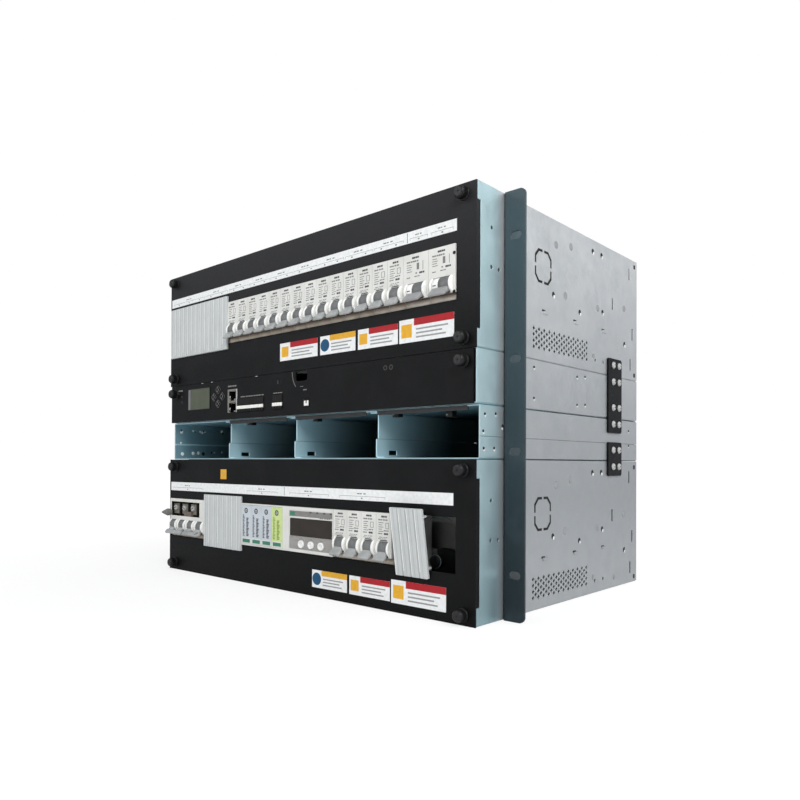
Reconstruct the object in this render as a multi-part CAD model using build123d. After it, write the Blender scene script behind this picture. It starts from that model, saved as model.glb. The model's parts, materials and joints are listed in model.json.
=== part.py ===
from build123d import *
import os
from math import cos, pi, radians

# Embedded DC power system for a 19-inch rack, eight rack units high.
# Four folded-steel units stand in one stack: an AC distribution unit, a shelf with four
# empty rectifier slots, a controller unit and a DC distribution unit.
# +X is right, +Y is towards the rear and +Z is up. The origin is at the middle of the
# underside, on the plane of the rack rails that the ears are bolted to. Millimetres.

# Stack
RACK_STEP_HEIGHT = 44.45
LOWER_UNITS = 3
SHELF_UNITS = 1
CONTROLLER_UNITS = 1
UPPER_UNITS = 3
STACK_GAP = 0.4
CHASSIS_WIDTH = 442.0
CHASSIS_DEPTH = 320.0
EAR_SETBACK = 40.0

# Sheet metal
SHEET = 1.2
PANEL_SHEET = 1.5
BEND = 1.2
BEND_RELIEF = 1.0
LIP_HEIGHT = 14.0
SKIRT_HEIGHT = 12.0
FIT = 0.2

# Small round things are drawn with a few flat sides, which keeps the model light
HOLE_SIDES = 6
HEAD_SIDES = 6
TURNED_SIDES = 9

# Front panels of the distribution units
WINDOW_LEFT_MARGIN = 3.0
WINDOW_RIGHT_MARGIN = 19.0
WINDOW_HEIGHT = 46.0
WINDOW_DROP = 3.1
RETURN_DEPTH = 5.6
RETURN_MARGIN = 15.5
NOTCH_CLEARANCE = 0.4

# Side walls of the distribution units: (distance behind the panel face, height in the unit)
SIDE_HOLE_DIAMETER = 3.6
SIDE_HOLES = [
    (22.5, 99.8), (22.0, 67.4), (33.3, 67.2), (127.6, 62.8), (181.0, 54.2), (210.0, 120.6),
    (230.5, 120.6), (232.4, 62.5), (215.0, 12.5), (233.8, 12.5),
]

# Near the rear: (distance before the rear edge, height in the unit)
REAR_HOLES = [(32.3, 38.8)]
REAR_SLOT_LENGTH = 12.5
REAR_SLOT_WIDTH = 3.2
REAR_SLOTS = [(64.0, 76.2), (12.0, 50.8), (20.5, 115.8), (17.3, 17.0)]
LANCE_WIDTH = 8.0
LANCE_HEIGHT = 2.6
LANCE_RISE = 0.8
LANCES = [(112.0, 44.0), (172.5, 44.0), (235.0, 44.0)]
KNOCKOUT_SIZE = 30.0
KNOCKOUT_CORNER = 6.0
KNOCKOUT_CUT = 1.6
KNOCKOUT_BRIDGE = 3.0
KNOCKOUT_DEPTH = 107.7
KNOCKOUT_HEIGHT = 85.0
VENT_START = 91.0
VENT_HEIGHT = 19.5
VENT_PITCH = 5.5
VENT_HOLE = 4.4
VENT_SIDES = 4
VENT_COLUMNS = 23
VENT_ROWS = 4

# Rail-mounted devices: breakers, arrester and meter
NOSE_HEIGHT = 45.0
BODY_HEIGHT = 85.0
FACE_PROUD = 1.5
SHOULDER_DEPTH = 16.0
RAIL_DEPTH = 58.0
DEVICE_GAP = 0.2
RAIL_HEIGHT = 35.0
RAIL_HAT_DEPTH = 7.5
RAIL_CHANNEL = 25.0
RAIL_SHEET = 1.0

# Breakers
POLE_PITCH = 18.0
BRANCH_COUNT = 14
OUTLET_COUNT = 4
WIDE_PITCH = 27.0
WIDE_COUNT = 2
INPUT_COUNT = 2
INPUT_POLES = 2
PIVOT_DEPTH = 4.0
PIVOT_DROP = 9.2
BARREL_RADIUS = 7.3
BARREL_SIDES = 10
BARREL_WIDTH = 9.4
WIDE_BARREL_WIDTH = 16.4
BARREL_CLEARANCE = 0.3
CHEEK_RADIUS = 7.8
CHEEK_WIDTH = 2.2
LEDGE_DROP = 17.0
LEDGE_SETBACK = 3.0
PADDLE_REACH = 15.8
PADDLE_WIDTH = 13.0
PADDLE_ROOT = 5.0
PADDLE_TIP = 2.6
WIDE_PADDLE_WIDTH = 17.0
INPUT_PADDLE_WIDTH = 33.0
TIE_START = 10.5
OFF_ANGLE = 38.0

# Input breakers: one open terminal pocket above both handles
POCKET_HEIGHT = 17.0
POCKET_DEPTH = 9.0
POCKET_TOP_WALL = 3.6
POCKET_SIDE_WALL = 3.0

# Surge arrester and meter
CARTRIDGE_PITCH = 16.8
CARTRIDGE_COUNT = 4
CARTRIDGE_DEPTH = 30.0
CARTRIDGE_PROUD = 0.5
ARRESTER_WALL = 1.6
ARRESTER_LEFT_WALL = 1.0
ARRESTER_RIGHT_WALL = 5.8
METER_WIDTH = 67.0
METER_SCREEN_WIDTH = 59.0
METER_SCREEN_HEIGHT = 17.2
METER_SCREEN_RISE = 0.5
METER_SCREEN_LIFT = 2.4
METER_SCREEN_OFFSET = 2.3
METER_SCREEN_DEPTH = 3.0
METER_BUTTON_DIAMETER = 8.0
METER_BUTTON_COUNT = 3
METER_BUTTON_PITCH = 14.0
METER_BUTTON_DROP = 14.1
METER_BUTTON_OFFSET = 3.0
METER_BUTTON_PROUD = 1.6
METER_BUTTON_LENGTH = 6.0
METER_POCKET_DEPTH = 6.0

# Ribbed blanking strips
STRIP_HEIGHT = 59.0
STRIP_SHEET = 2.0
RIB_PITCH = 8.75
RIB_RISE = 0.8
GROOVE_WIDTH = 1.2
STRIP_CLIP_DEPTH = 6.0
STRIP_CLIP_SHEET = 1.5
LOWER_STRIP_WIDTH = 69.0
LOOSE_STRIP_WIDTH = 35.0
LOOSE_STRIP_OFFSET = 5.5
LOOSE_STRIP_LEAN = 9.3
LOOSE_STRIP_GAP = 0.3

# Controller unit
CONTROLLER_PANEL_INSET = 2.5
CONTROLLER_RETURN = 10.0
CONTROLLER_TAB = 16.0
CONTROLLER_THUMB_MARGIN = 9.5
BOARD_SHEET = 1.6
BOARD_LEVEL = 5.6
BOARD_DEPTH = 180.0
BOARD_WIDTH = 330.0
BOARD_POST_DIAMETER = 7.0
BOARD_FRONT_GAP = 2.0
DISPLAY_X = -161.0
DISPLAY_Z = 26.2
DISPLAY_WIDTH = 44.0
DISPLAY_HEIGHT = 24.4
DISPLAY_BOARD_WIDTH = 76.0
DISPLAY_BOARD_HEIGHT = 30.0
DISPLAY_BOARD_SETBACK = 7.0
BUTTON_X = -122.8
BUTTON_Z = 26.4
BUTTON_SPREAD = 8.0
BUTTON_SIZE = 5.0
BUTTON_PROUD = 1.2
BUTTON_FLANGE = 1.0
BUTTON_FLANGE_SHEET = 1.2
BUTTON_FIT = 0.25
PORT_X = -95.8
PORT_WIDTH = 17.6
PORT_HEIGHT = 26.0
PORT_DEPTH = 22.0
PORT_CAVITY_WIDTH = 12.2
PORT_CAVITY_HEIGHT = 8.6
PORT_CAVITY_DEPTH = 14.0
PORT_TAB_WIDTH = 6.0
PORT_TAB_HEIGHT = 2.0
TERMINAL_X = -64.3
TERMINAL_WIDTH = 45.4
SIGNAL_X = -19.0
SIGNAL_WIDTH = 15.2
TERMINAL_HEIGHT = 15.0
TERMINAL_DEPTH = 16.0
TERMINAL_PROUD = 1.5
SOCKET_X = 24.1
SOCKET_WIDTH = 9.4
SOCKET_HEIGHT = 7.6
SOCKET_WALL = 1.2
SOCKET_DEPTH = 8.0
CUTOUT_FIT = 0.3
CABLE_NOTCH_X = 16.9
CABLE_NOTCH_WIDTH = 17.0
CABLE_NOTCH_DROP = 10.5
CABLE_NOTCH_RADIUS = 3.0

# Rectifier shelf
SHELF_SETBACK = 6.0
SHELF_SEAM = 18.3
SEAM_GAP = 0.3
SLOT_COUNT = 4
DIVIDER_SHEET = 1.0
DIVIDER_FOOT = 10.0
DIVIDER_STEP = 2.5
DIVIDER_SETBACK = 1.0
DIVIDER_END_GAP = 0.3
DIVIDER_WINDOW_START = 24.0
DIVIDER_WINDOW_LENGTH = 11.5
DIVIDER_WINDOW_SILL = 2.6
DIVIDER_WINDOW_HEIGHT = 4.2
CONNECTOR_WIDTH = 46.0
CONNECTOR_HEIGHT = 18.0
CONNECTOR_DEPTH = 20.0
CONNECTOR_WALL = 2.0
CONNECTOR_MOUTH_DEPTH = 14.0
EXHAUST_SLOTS = 4
EXHAUST_SLOT_WIDTH = 4.0
EXHAUST_SLOT_PITCH = 9.0
EXHAUST_MARGIN = 8.0

# Ears, joiner plates and fasteners
RACK_WIDTH = 482.6
EAR_SHEET = 2.0
EAR_LEG = 27.0
EAR_BEND = 1.8
EAR_CORNER = 5.0
EAR_SLOT_LENGTH = 10.3
EAR_SLOT_HEIGHT = 6.8
EAR_SLOT_MARGIN = 8.75
EAR_OUTER_SLOT = 38.1
EAR_INNER_SLOT = 139.7
JOINER_SHEET = 2.0
JOINER_WIDTH = 33.0
JOINER_REAR_GAP = 45.0
JOINER_CORNER = 1.8
JOINER_SCREW_START = 11.3
JOINER_SCREW_PITCH = 14.3
UPPER_JOINER_BELOW = 15.4
UPPER_JOINER_ABOVE = 18.1
LOWER_JOINER_BELOW = 15.75
LOWER_JOINER_ABOVE = 19.35
JOINER_SCREW_BELOW = 6.2
JOINER_SCREW_ABOVE = 11.2
SCREW_HEAD_DIAMETER = 7.0
SCREW_HEAD_HEIGHT = 2.4
THUMB_INSET = 12.0
THUMB_MARGIN = 8.5
THUMB_HEAD_DIAMETER = 10.5
THUMB_HEAD_LENGTH = 8.6
THUMB_SHANK_DIAMETER = 4.0
THUMB_SHANK_LENGTH = 6.0

# Places that follow from the sizes above
HALF_WIDTH = CHASSIS_WIDTH / 2
INNER_HALF = HALF_WIDTH - SHEET
PANEL_Y = -EAR_SETBACK
PANEL_BACK = PANEL_Y + PANEL_SHEET
REAR_Y = PANEL_Y + CHASSIS_DEPTH
SHELF_Z = LOWER_UNITS * RACK_STEP_HEIGHT
CONTROLLER_Z = SHELF_Z + SHELF_UNITS * RACK_STEP_HEIGHT
UPPER_Z = CONTROLLER_Z + CONTROLLER_UNITS * RACK_STEP_HEIGHT
LOWER_HEIGHT = LOWER_UNITS * RACK_STEP_HEIGHT - STACK_GAP
SHELF_HEIGHT = SHELF_UNITS * RACK_STEP_HEIGHT - STACK_GAP
CONTROLLER_HEIGHT = CONTROLLER_UNITS * RACK_STEP_HEIGHT - STACK_GAP
UPPER_HEIGHT = UPPER_UNITS * RACK_STEP_HEIGHT - STACK_GAP
STACK_HEIGHT = UPPER_Z + UPPER_HEIGHT
WINDOW_LEFT = -HALF_WIDTH + WINDOW_LEFT_MARGIN
WINDOW_RIGHT = HALF_WIDTH - WINDOW_RIGHT_MARGIN
FACE_Y = PANEL_Y - FACE_PROUD
RAIL_Y = FACE_Y + RAIL_DEPTH
PIVOT_Y = FACE_Y + PIVOT_DEPTH
LOWER_MIDDLE = LOWER_HEIGHT / 2 - WINDOW_DROP
UPPER_MIDDLE = UPPER_Z + UPPER_HEIGHT / 2 - WINDOW_DROP
WIDE_LEFT = WINDOW_RIGHT - WIDE_COUNT * WIDE_PITCH
BRANCH_LEFT = WIDE_LEFT - BRANCH_COUNT * POLE_PITCH
INPUT_PITCH = INPUT_POLES * POLE_PITCH
INPUT_WIDTH = INPUT_COUNT * INPUT_PITCH
STRIP_LEFT = WINDOW_LEFT + INPUT_WIDTH
ARRESTER_LEFT = STRIP_LEFT + LOWER_STRIP_WIDTH
CARTRIDGES_WIDTH = CARTRIDGE_COUNT * CARTRIDGE_PITCH
ARRESTER_WIDTH = ARRESTER_LEFT_WALL + CARTRIDGES_WIDTH + ARRESTER_RIGHT_WALL
METER_LEFT = ARRESTER_LEFT + ARRESTER_WIDTH
METER_MIDDLE = METER_LEFT + METER_WIDTH / 2
OUTLET_LEFT = METER_LEFT + METER_WIDTH
LOOSE_STRIP_LEFT = OUTLET_LEFT + OUTLET_COUNT * POLE_PITCH + LOOSE_STRIP_OFFSET
SLOT_PITCH = CHASSIS_WIDTH / SLOT_COUNT
SHELF_FRONT = PANEL_Y + SHELF_SETBACK
BOARD_TOP = CONTROLLER_Z + BOARD_LEVEL + BOARD_SHEET
JOINER_Y = REAR_Y - JOINER_REAR_GAP - JOINER_WIDTH


# Shape helpers

def rect(u0, u1, v0, v1):
    """Rectangle between two corners of a drawing plane."""
    return Pos((u0 + u1) / 2, (v0 + v1) / 2) * Rectangle(u1 - u0, v1 - v0)


def along_x(sketch, x0, x1):
    """Extrude a (Y, Z) drawing from x0 to x1."""
    return Pos(X=x0) * extrude(Plane.YZ * sketch, amount=x1 - x0)


def along_y(sketch, y0, y1):
    """Extrude an (X, Z) drawing from y0 to y1."""
    return Pos(Y=y1) * extrude(Plane.XZ * sketch, amount=y1 - y0)


def along_z(sketch, z0, z1):
    """Extrude an (X, Y) drawing from z0 to z1."""
    return Pos(Z=z0) * extrude(sketch, amount=z1 - z0)


def folded(corners, thickness, bend):
    """Section of a sheet folded along a line of corners, with its thickness on the left.

    Each bend is one flat facet that cuts the given length off both of its sides.
    """
    points = [Vector(*corner) for corner in corners]
    line = points[:1]
    for before, corner, after in zip(points, points[1:], points[2:]):
        if bend:
            line += [corner + (end - corner).normalized() * bend for end in (before, after)]
        else:
            line.append(corner)
    sheet = Polyline(*line, points[-1])
    return make_face(offset(sheet, amount=thickness, side=Side.LEFT, kind=Kind.INTERSECTION))


def outline(points):
    """Closed straight-sided drawing."""
    return make_face(Polyline(*points, close=True))


def flat_sided(diameter, sides):
    """Few-sided stand-in for a circle, with its corners on the circle."""
    return RegularPolygon(diameter / 2, sides)


def spread(shape, places):
    """The same drawing or solid at several (u, v) places."""
    return [Pos(*place) * shape for place in places]


def row_from(left, pitch, count):
    """Middles of equal pieces in a row that starts at a left edge."""
    return [left + (index + 1 / 2) * pitch for index in range(count)]


def centred_row(pitch, count):
    """Middles of equal pieces in a row about zero."""
    return row_from(-pitch * count / 2, pitch, count)


def both_sides(shape):
    """A piece and its mirror image across the middle of the part."""
    return [shape, mirror(shape, about=Plane.YZ)]


# Sheet-metal trays, covers and panels

def thumb_places(half_width, height):
    """The (x, z) places of the thumbscrews of a panel whose underside is at zero."""
    x = half_width - THUMB_INSET
    return [(s * x, z) for s in (-1, 1) for z in (THUMB_MARGIN, height - THUMB_MARGIN)]


def tray(wall_height, front_y):
    """Floor and two side walls folded from one sheet."""
    corners = [(-HALF_WIDTH, wall_height), (-HALF_WIDTH, 0), (HALF_WIDTH, 0), (HALF_WIDTH, wall_height)]
    return along_y(folded(corners, SHEET, BEND), front_y, REAR_Y)


def rear_wall(top):
    """Wall folded up from the rear edge of a floor."""
    half = INNER_HALF - BEND_RELIEF
    return along_y(rect(-half, half, SHEET, top), REAR_Y - SHEET, REAR_Y)


def thumb_hole(fit):
    """Drawing of the hole that a thumbscrew passes through."""
    return flat_sided(THUMB_SHANK_DIAMETER + 2 * fit, HOLE_SIDES)


def front_lip(z0, z1, half_width, hole_z):
    """Narrow flange behind a front panel, which the thumbscrews screw into."""
    places = [(s * (HALF_WIDTH - THUMB_INSET), hole_z) for s in (-1, 1)]
    lip = rect(-half_width, half_width, z0, z1) - spread(thumb_hole(FIT / 2), places)
    return along_y(lip, PANEL_BACK, PANEL_BACK + SHEET)


def drop_in_cover(height, front_y):
    """Cover plate with two skirts between the side walls; the skirts stop at the rear wall."""
    edge = INNER_HALF - FIT
    foot = height - SKIRT_HEIGHT
    cover = along_y(folded([(edge, foot), (edge, height), (-edge, height), (-edge, foot)], SHEET, BEND),
                    front_y, REAR_Y)
    return cover - along_y(rect(-edge, edge, foot, height - SHEET), REAR_Y - SHEET - FIT, REAR_Y)


def side_drawing(shape, places):
    """A shape repeated on a side wall, at distances behind the panel face."""
    return Sketch() + [Pos(PANEL_Y + t, z) * shape for t, z in places]


def before_rear(places):
    """Places given from the rear edge, as distances behind the panel face."""
    return [(CHASSIS_DEPTH - distance, z) for distance, z in places]


def vent_drawing():
    """Staggered air holes: columns of four and of three in turn."""
    column_step = VENT_PITCH * cos(radians(30))
    hole = flat_sided(VENT_HOLE, VENT_SIDES)
    places = []
    for column in range(VENT_COLUMNS):
        rows = VENT_ROWS - column % 2
        for row in range(rows):
            z = VENT_HEIGHT + (row - (rows - 1) / 2) * VENT_PITCH
            places.append((VENT_START + column * column_step, z))
    return side_drawing(hole, places)


def knockout_drawing():
    """Cut line of a cable knockout, broken by four bridges."""
    inner = KNOCKOUT_SIZE - 2 * KNOCKOUT_CUT
    ring = chamfer(Rectangle(KNOCKOUT_SIZE, KNOCKOUT_SIZE).vertices(), KNOCKOUT_CORNER)
    ring -= chamfer(Rectangle(inner, inner).vertices(), KNOCKOUT_CORNER - KNOCKOUT_CUT / 2)
    ring -= Rectangle(KNOCKOUT_SIZE, KNOCKOUT_BRIDGE)
    ring -= Rectangle(KNOCKOUT_BRIDGE, KNOCKOUT_SIZE)
    return side_drawing(ring, [(KNOCKOUT_DEPTH, KNOCKOUT_HEIGHT)])


def panel_notches(height):
    """Room in both side walls for the side returns of the front panel."""
    return rect(PANEL_Y, PANEL_Y + RETURN_DEPTH + NOTCH_CLEARANCE,
                RETURN_MARGIN - NOTCH_CLEARANCE, height - RETURN_MARGIN + NOTCH_CLEARANCE)


def distribution_chassis(z_base, height):
    """Tray of a distribution unit; the right wall has the punched and pressed details."""
    shell = tray(height, PANEL_BACK) + rear_wall(height - SHEET)
    shell += front_lip(SHEET, LIP_HEIGHT, INNER_HALF, THUMB_MARGIN)
    shell -= along_x(panel_notches(height), -HALF_WIDTH - SHEET, HALF_WIDTH + SHEET)
    cuts = vent_drawing() + knockout_drawing()
    cuts += side_drawing(flat_sided(SIDE_HOLE_DIAMETER, HOLE_SIDES), SIDE_HOLES + before_rear(REAR_HOLES))
    cuts += side_drawing(Rectangle(REAR_SLOT_WIDTH, REAR_SLOT_LENGTH), before_rear(REAR_SLOTS))
    shell -= along_x(cuts, 0, HALF_WIDTH + SHEET)
    lances = side_drawing(Rectangle(LANCE_WIDTH, LANCE_HEIGHT), LANCES)
    return Pos(Z=z_base) * (shell + along_x(lances, HALF_WIDTH - SHEET / 2, HALF_WIDTH + LANCE_RISE))


def distribution_cover(z_base, height):
    """Cover of a distribution unit, with a front flange."""
    lip = front_lip(height - LIP_HEIGHT, height - SHEET, INNER_HALF - FIT, height - THUMB_MARGIN)
    return Pos(Z=z_base) * (drop_in_cover(height, PANEL_BACK) + lip)


def distribution_panel(z_base, height):
    """Black front panel with the breaker window and two side returns."""
    middle = height / 2 - WINDOW_DROP
    face = rect(-HALF_WIDTH, HALF_WIDTH, 0, height)
    face -= rect(WINDOW_LEFT, WINDOW_RIGHT, middle - WINDOW_HEIGHT / 2, middle + WINDOW_HEIGHT / 2)
    face -= spread(thumb_hole(FIT), thumb_places(HALF_WIDTH, height))
    panel = along_y(face, PANEL_Y, PANEL_BACK)
    side_return = rect(HALF_WIDTH - PANEL_SHEET, HALF_WIDTH, PANEL_Y, PANEL_Y + RETURN_DEPTH)
    panel += both_sides(along_z(side_return, RETURN_MARGIN, height - RETURN_MARGIN))
    return Pos(Z=z_base) * panel


# Rail-mounted devices

def device_body(width):
    """Body of a rail-mounted device about its own middle: nose and shoulders, flat on the rail."""
    nose, body, shoulder_y = NOSE_HEIGHT / 2, BODY_HEIGHT / 2, FACE_Y + SHOULDER_DEPTH
    upper = [(FACE_Y, nose), (shoulder_y, nose), (shoulder_y, body), (RAIL_Y, body)]
    lower = [(y, -z) for y, z in reversed(upper)]
    return along_x(outline(upper + lower), -width / 2, width / 2)


def turned(radius, width, sides):
    """Few-sided roller along X, centred, with its corners at the given radius."""
    return extrude(Plane.YZ * RegularPolygon(radius, sides), amount=width / 2, both=True)


def barrel_bore(x, width):
    """Recess in which a toggle barrel turns, open at the face."""
    radius = (BARREL_RADIUS + BARREL_CLEARANCE) / cos(pi / BARREL_SIDES)
    return Pos(x, PIVOT_Y, -PIVOT_DROP) * turned(radius, width + 2 * BARREL_CLEARANCE, BARREL_SIDES)


def cheeks(x, width):
    """Two round cheeks beside a toggle barrel."""
    step = width / 2 + BARREL_CLEARANCE + CHEEK_WIDTH / 2
    disc = turned(CHEEK_RADIUS, CHEEK_WIDTH, BARREL_SIDES)
    return [Pos(x + s * step, PIVOT_Y, -PIVOT_DROP) * disc for s in (-1, 1)]


def breaker_housing(pitch, barrel_places, barrel_width):
    """Breaker body with a set-back ledge under the toggles, their cheeks and bores."""
    width = pitch - DEVICE_GAP
    housing = device_body(width)
    ledge = rect(FACE_Y, FACE_Y + LEDGE_SETBACK, -NOSE_HEIGHT / 2, -LEDGE_DROP)
    housing -= along_x(ledge, -width / 2, width / 2)
    for x in barrel_places:
        housing += cheeks(x, barrel_width)
        housing -= barrel_bore(x, barrel_width)
    return housing


def input_housing():
    """Block of the input breakers with one open terminal pocket above all of their poles."""
    housing = breaker_housing(INPUT_WIDTH, pole_places(INPUT_COUNT * INPUT_POLES), BARREL_WIDTH)
    half = (INPUT_WIDTH - DEVICE_GAP) / 2 - POCKET_SIDE_WALL
    top = NOSE_HEIGHT / 2 - POCKET_TOP_WALL
    return housing - along_y(rect(-half, half, top - POCKET_HEIGHT, top), FACE_Y, FACE_Y + POCKET_DEPTH)


def pole_places(poles):
    """The x places of the barrels of a breaker with one or more poles."""
    return centred_row(POLE_PITCH, poles)


def toggle(barrel_places, barrel_width, paddle_width):
    """Toggle about its own pivot at rest: barrels, necks and one flared paddle."""
    neck = barrel_width / 2
    barrel = turned(BARREL_RADIUS, barrel_width, BARREL_SIDES)
    flare_start = CHEEK_RADIUS + BARREL_CLEARANCE
    half = paddle_width / 2
    right_edge = [(neck, 0), (neck, -flare_start), (half, -TIE_START), (half, -PADDLE_REACH)]
    plan = outline(right_edge + [(-x, y) for x, y in reversed(right_edge)])
    if len(barrel_places) > 1:
        plan = rect(-half, half, -PADDLE_REACH, -TIE_START)
        plan += [rect(x - neck, x + neck, -PADDLE_REACH, 0) for x in barrel_places]
    side = outline([
        (0, PADDLE_ROOT / 2), (-PADDLE_REACH, PADDLE_TIP / 2),
        (-PADDLE_REACH, -PADDLE_TIP / 2), (0, -PADDLE_ROOT / 2),
    ])
    paddle = extrude(plan, amount=PADDLE_ROOT, both=True) & along_x(side, -paddle_width, paddle_width)
    lever = paddle + [Pos(X=x) * barrel for x in barrel_places]
    return Rot(X=OFF_ANGLE) * lever


def din_rail(middle):
    """Top-hat rail between the side walls of a distribution unit."""
    lip, channel, back = RAIL_HEIGHT / 2, RAIL_CHANNEL / 2, RAIL_Y + RAIL_HAT_DEPTH
    upper = [(RAIL_Y, lip), (RAIL_Y, channel), (back, channel)]
    section = folded(upper + [(y, -z) for y, z in reversed(upper)], RAIL_SHEET, 0)
    return Pos(Z=middle) * along_x(section, -INNER_HALF, INNER_HALF)


def arrester_base():
    """Open-fronted rail base for four plug-in cartridges, from x zero to its width."""
    base = Pos(X=ARRESTER_WIDTH / 2) * device_body(ARRESTER_WIDTH - DEVICE_GAP)
    half = NOSE_HEIGHT / 2 - ARRESTER_WALL
    bay = rect(ARRESTER_LEFT_WALL, ARRESTER_LEFT_WALL + CARTRIDGES_WIDTH, -half, half)
    return base - along_y(bay, FACE_Y, FACE_Y + CARTRIDGE_DEPTH)


def arrester_cartridge():
    """One plug-in cartridge about its own middle."""
    half_x = (CARTRIDGE_PITCH - DEVICE_GAP) / 2
    half_z = NOSE_HEIGHT / 2 - ARRESTER_WALL - FIT
    face = rect(-half_x, half_x, -half_z, half_z)
    return along_y(face, FACE_Y - CARTRIDGE_PROUD, FACE_Y + CARTRIDGE_DEPTH)


def meter_button_places():
    """The (x, z) places of the meter's buttons about its own middle."""
    return [(METER_BUTTON_OFFSET + x, -METER_BUTTON_DROP)
            for x in centred_row(METER_BUTTON_PITCH, METER_BUTTON_COUNT)]


def screen_drawing(margin):
    """Outline of the meter's screen, grown by a margin."""
    width, height = METER_SCREEN_WIDTH + 2 * margin, METER_SCREEN_HEIGHT + 2 * margin
    return Pos(METER_SCREEN_OFFSET, METER_SCREEN_LIFT) * Rectangle(width, height)


def meter_housing():
    """Meter body with a recess for its screen and three button pockets."""
    housing = device_body(METER_WIDTH - DEVICE_GAP)
    housing -= along_y(screen_drawing(FIT), FACE_Y, FACE_Y + METER_SCREEN_DEPTH)
    pocket = flat_sided(METER_BUTTON_DIAMETER + 2 * BUTTON_FIT, TURNED_SIDES)
    return housing - along_y(
        Sketch() + spread(pocket, meter_button_places()), FACE_Y, FACE_Y + METER_POCKET_DEPTH)


def meter_button():
    """Round push button about its own axis, at rest."""
    start = FACE_Y - METER_BUTTON_PROUD
    return along_y(flat_sided(METER_BUTTON_DIAMETER, TURNED_SIDES), start, start + METER_BUTTON_LENGTH)


def blanking_strip(width):
    """Ribbed cover strip on the panel face, from x zero to its width, with two clip ledges."""
    ribs = max(1, round(width / RIB_PITCH))
    step = width / ribs
    front, back = PANEL_Y - STRIP_SHEET, PANEL_Y
    section = rect(0, width, front, back)
    for middle in row_from(0, step, ribs):
        half = (step - GROOVE_WIDTH) / 2
        section += rect(middle - half, middle + half, front - RIB_RISE, front)
    strip = along_z(section, -STRIP_HEIGHT / 2, STRIP_HEIGHT / 2)
    clip_z = WINDOW_HEIGHT / 2 - FIT
    clip = rect(STRIP_CLIP_SHEET, width - STRIP_CLIP_SHEET, back, back + STRIP_CLIP_DEPTH)
    for z0, z1 in ((clip_z - STRIP_CLIP_SHEET, clip_z), (-clip_z, -clip_z + STRIP_CLIP_SHEET)):
        strip += along_z(clip, z0, z1)
    return strip


def loose_strip():
    """Strip that has come off at its top: it leans out about its lower edge."""
    strip = Pos(X=LOOSE_STRIP_LEFT) * blanking_strip(LOOSE_STRIP_WIDTH)
    foot = Pos(0, PANEL_Y, -STRIP_HEIGHT / 2)
    leaning = foot * Rot(X=LOOSE_STRIP_LEAN) * foot.inverse() * strip
    return Pos(0, -LOOSE_STRIP_GAP, LOWER_MIDDLE) * leaning


# Controller unit

def controller_notch(z_top):
    """Cable notch in the top edge of the controller's panel."""
    half = CABLE_NOTCH_WIDTH / 2
    notch = rect(CABLE_NOTCH_X - half, CABLE_NOTCH_X + half, z_top - CABLE_NOTCH_DROP, z_top)
    return fillet(notch.vertices().group_by(Axis.Y)[0], CABLE_NOTCH_RADIUS)


def button_places():
    """The (x, z) places of the controller's four buttons: left, right, down and up."""
    z = CONTROLLER_Z + BUTTON_Z
    return {
        "left": (BUTTON_X - BUTTON_SPREAD, z), "right": (BUTTON_X + BUTTON_SPREAD, z),
        "down": (BUTTON_X, z - BUTTON_SPREAD), "up": (BUTTON_X, z + BUTTON_SPREAD),
    }


def connector_drawings(margin):
    """Outlines of everything that looks through the lower half of the controller's panel."""
    rows = [
        (PORT_X, PORT_WIDTH, PORT_HEIGHT), (TERMINAL_X, TERMINAL_WIDTH, TERMINAL_HEIGHT),
        (SIGNAL_X, SIGNAL_WIDTH, TERMINAL_HEIGHT), (SOCKET_X, SOCKET_WIDTH, SOCKET_HEIGHT),
    ]
    return [
        Pos(x, BOARD_TOP + height / 2) * Rectangle(width + 2 * margin, height + 2 * margin)
        for x, width, height in rows
    ]


def controller_panel():
    """Black panel with its cut-outs, cable notch and two side returns."""
    half = HALF_WIDTH - CONTROLLER_PANEL_INSET
    top = CONTROLLER_Z + CONTROLLER_HEIGHT
    face = rect(-half, half, CONTROLLER_Z, top) - controller_notch(top)
    face -= connector_drawings(CUTOUT_FIT)
    window = Rectangle(DISPLAY_WIDTH + 2 * FIT, DISPLAY_HEIGHT + 2 * FIT)
    face -= Pos(DISPLAY_X, CONTROLLER_Z + DISPLAY_Z) * window
    hole = Rot(Z=45) * Rectangle(BUTTON_SIZE + 2 * BUTTON_FIT, BUTTON_SIZE + 2 * BUTTON_FIT)
    face -= spread(hole, button_places().values())
    face -= spread(thumb_hole(FIT), controller_thumb_places())
    side_return = rect(half - PANEL_SHEET, half, PANEL_Y, PANEL_Y + CONTROLLER_RETURN)
    returns = both_sides(along_z(side_return, CONTROLLER_Z + SHEET + FIT, top))
    return along_y(face, PANEL_Y, PANEL_BACK) + returns


def controller_thumb_places():
    """The controller's two thumbscrews, near its top corners."""
    z = CONTROLLER_Z + CONTROLLER_HEIGHT - CONTROLLER_THUMB_MARGIN
    return [(s * (HALF_WIDTH - THUMB_INSET), z) for s in (-1, 1)]


def board_post_places():
    """The (x, y) places of the four posts under the controller board."""
    x = BOARD_WIDTH / 2 - BOARD_POST_DIAMETER
    near = PANEL_BACK + BOARD_FRONT_GAP + BOARD_POST_DIAMETER
    far = PANEL_BACK + BOARD_FRONT_GAP + BOARD_DEPTH - BOARD_POST_DIAMETER
    return [(s * x, y) for s in (-1, 1) for y in (near, far)]


def controller_chassis():
    """Tray of the controller unit with the posts that carry its board."""
    shell = tray(CONTROLLER_HEIGHT, PANEL_BACK) + rear_wall(CONTROLLER_HEIGHT - SHEET)
    post = flat_sided(BOARD_POST_DIAMETER, HOLE_SIDES)
    shell += along_z(Sketch() + spread(post, board_post_places()), SHEET, BOARD_LEVEL)
    return Pos(Z=CONTROLLER_Z) * shell


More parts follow.
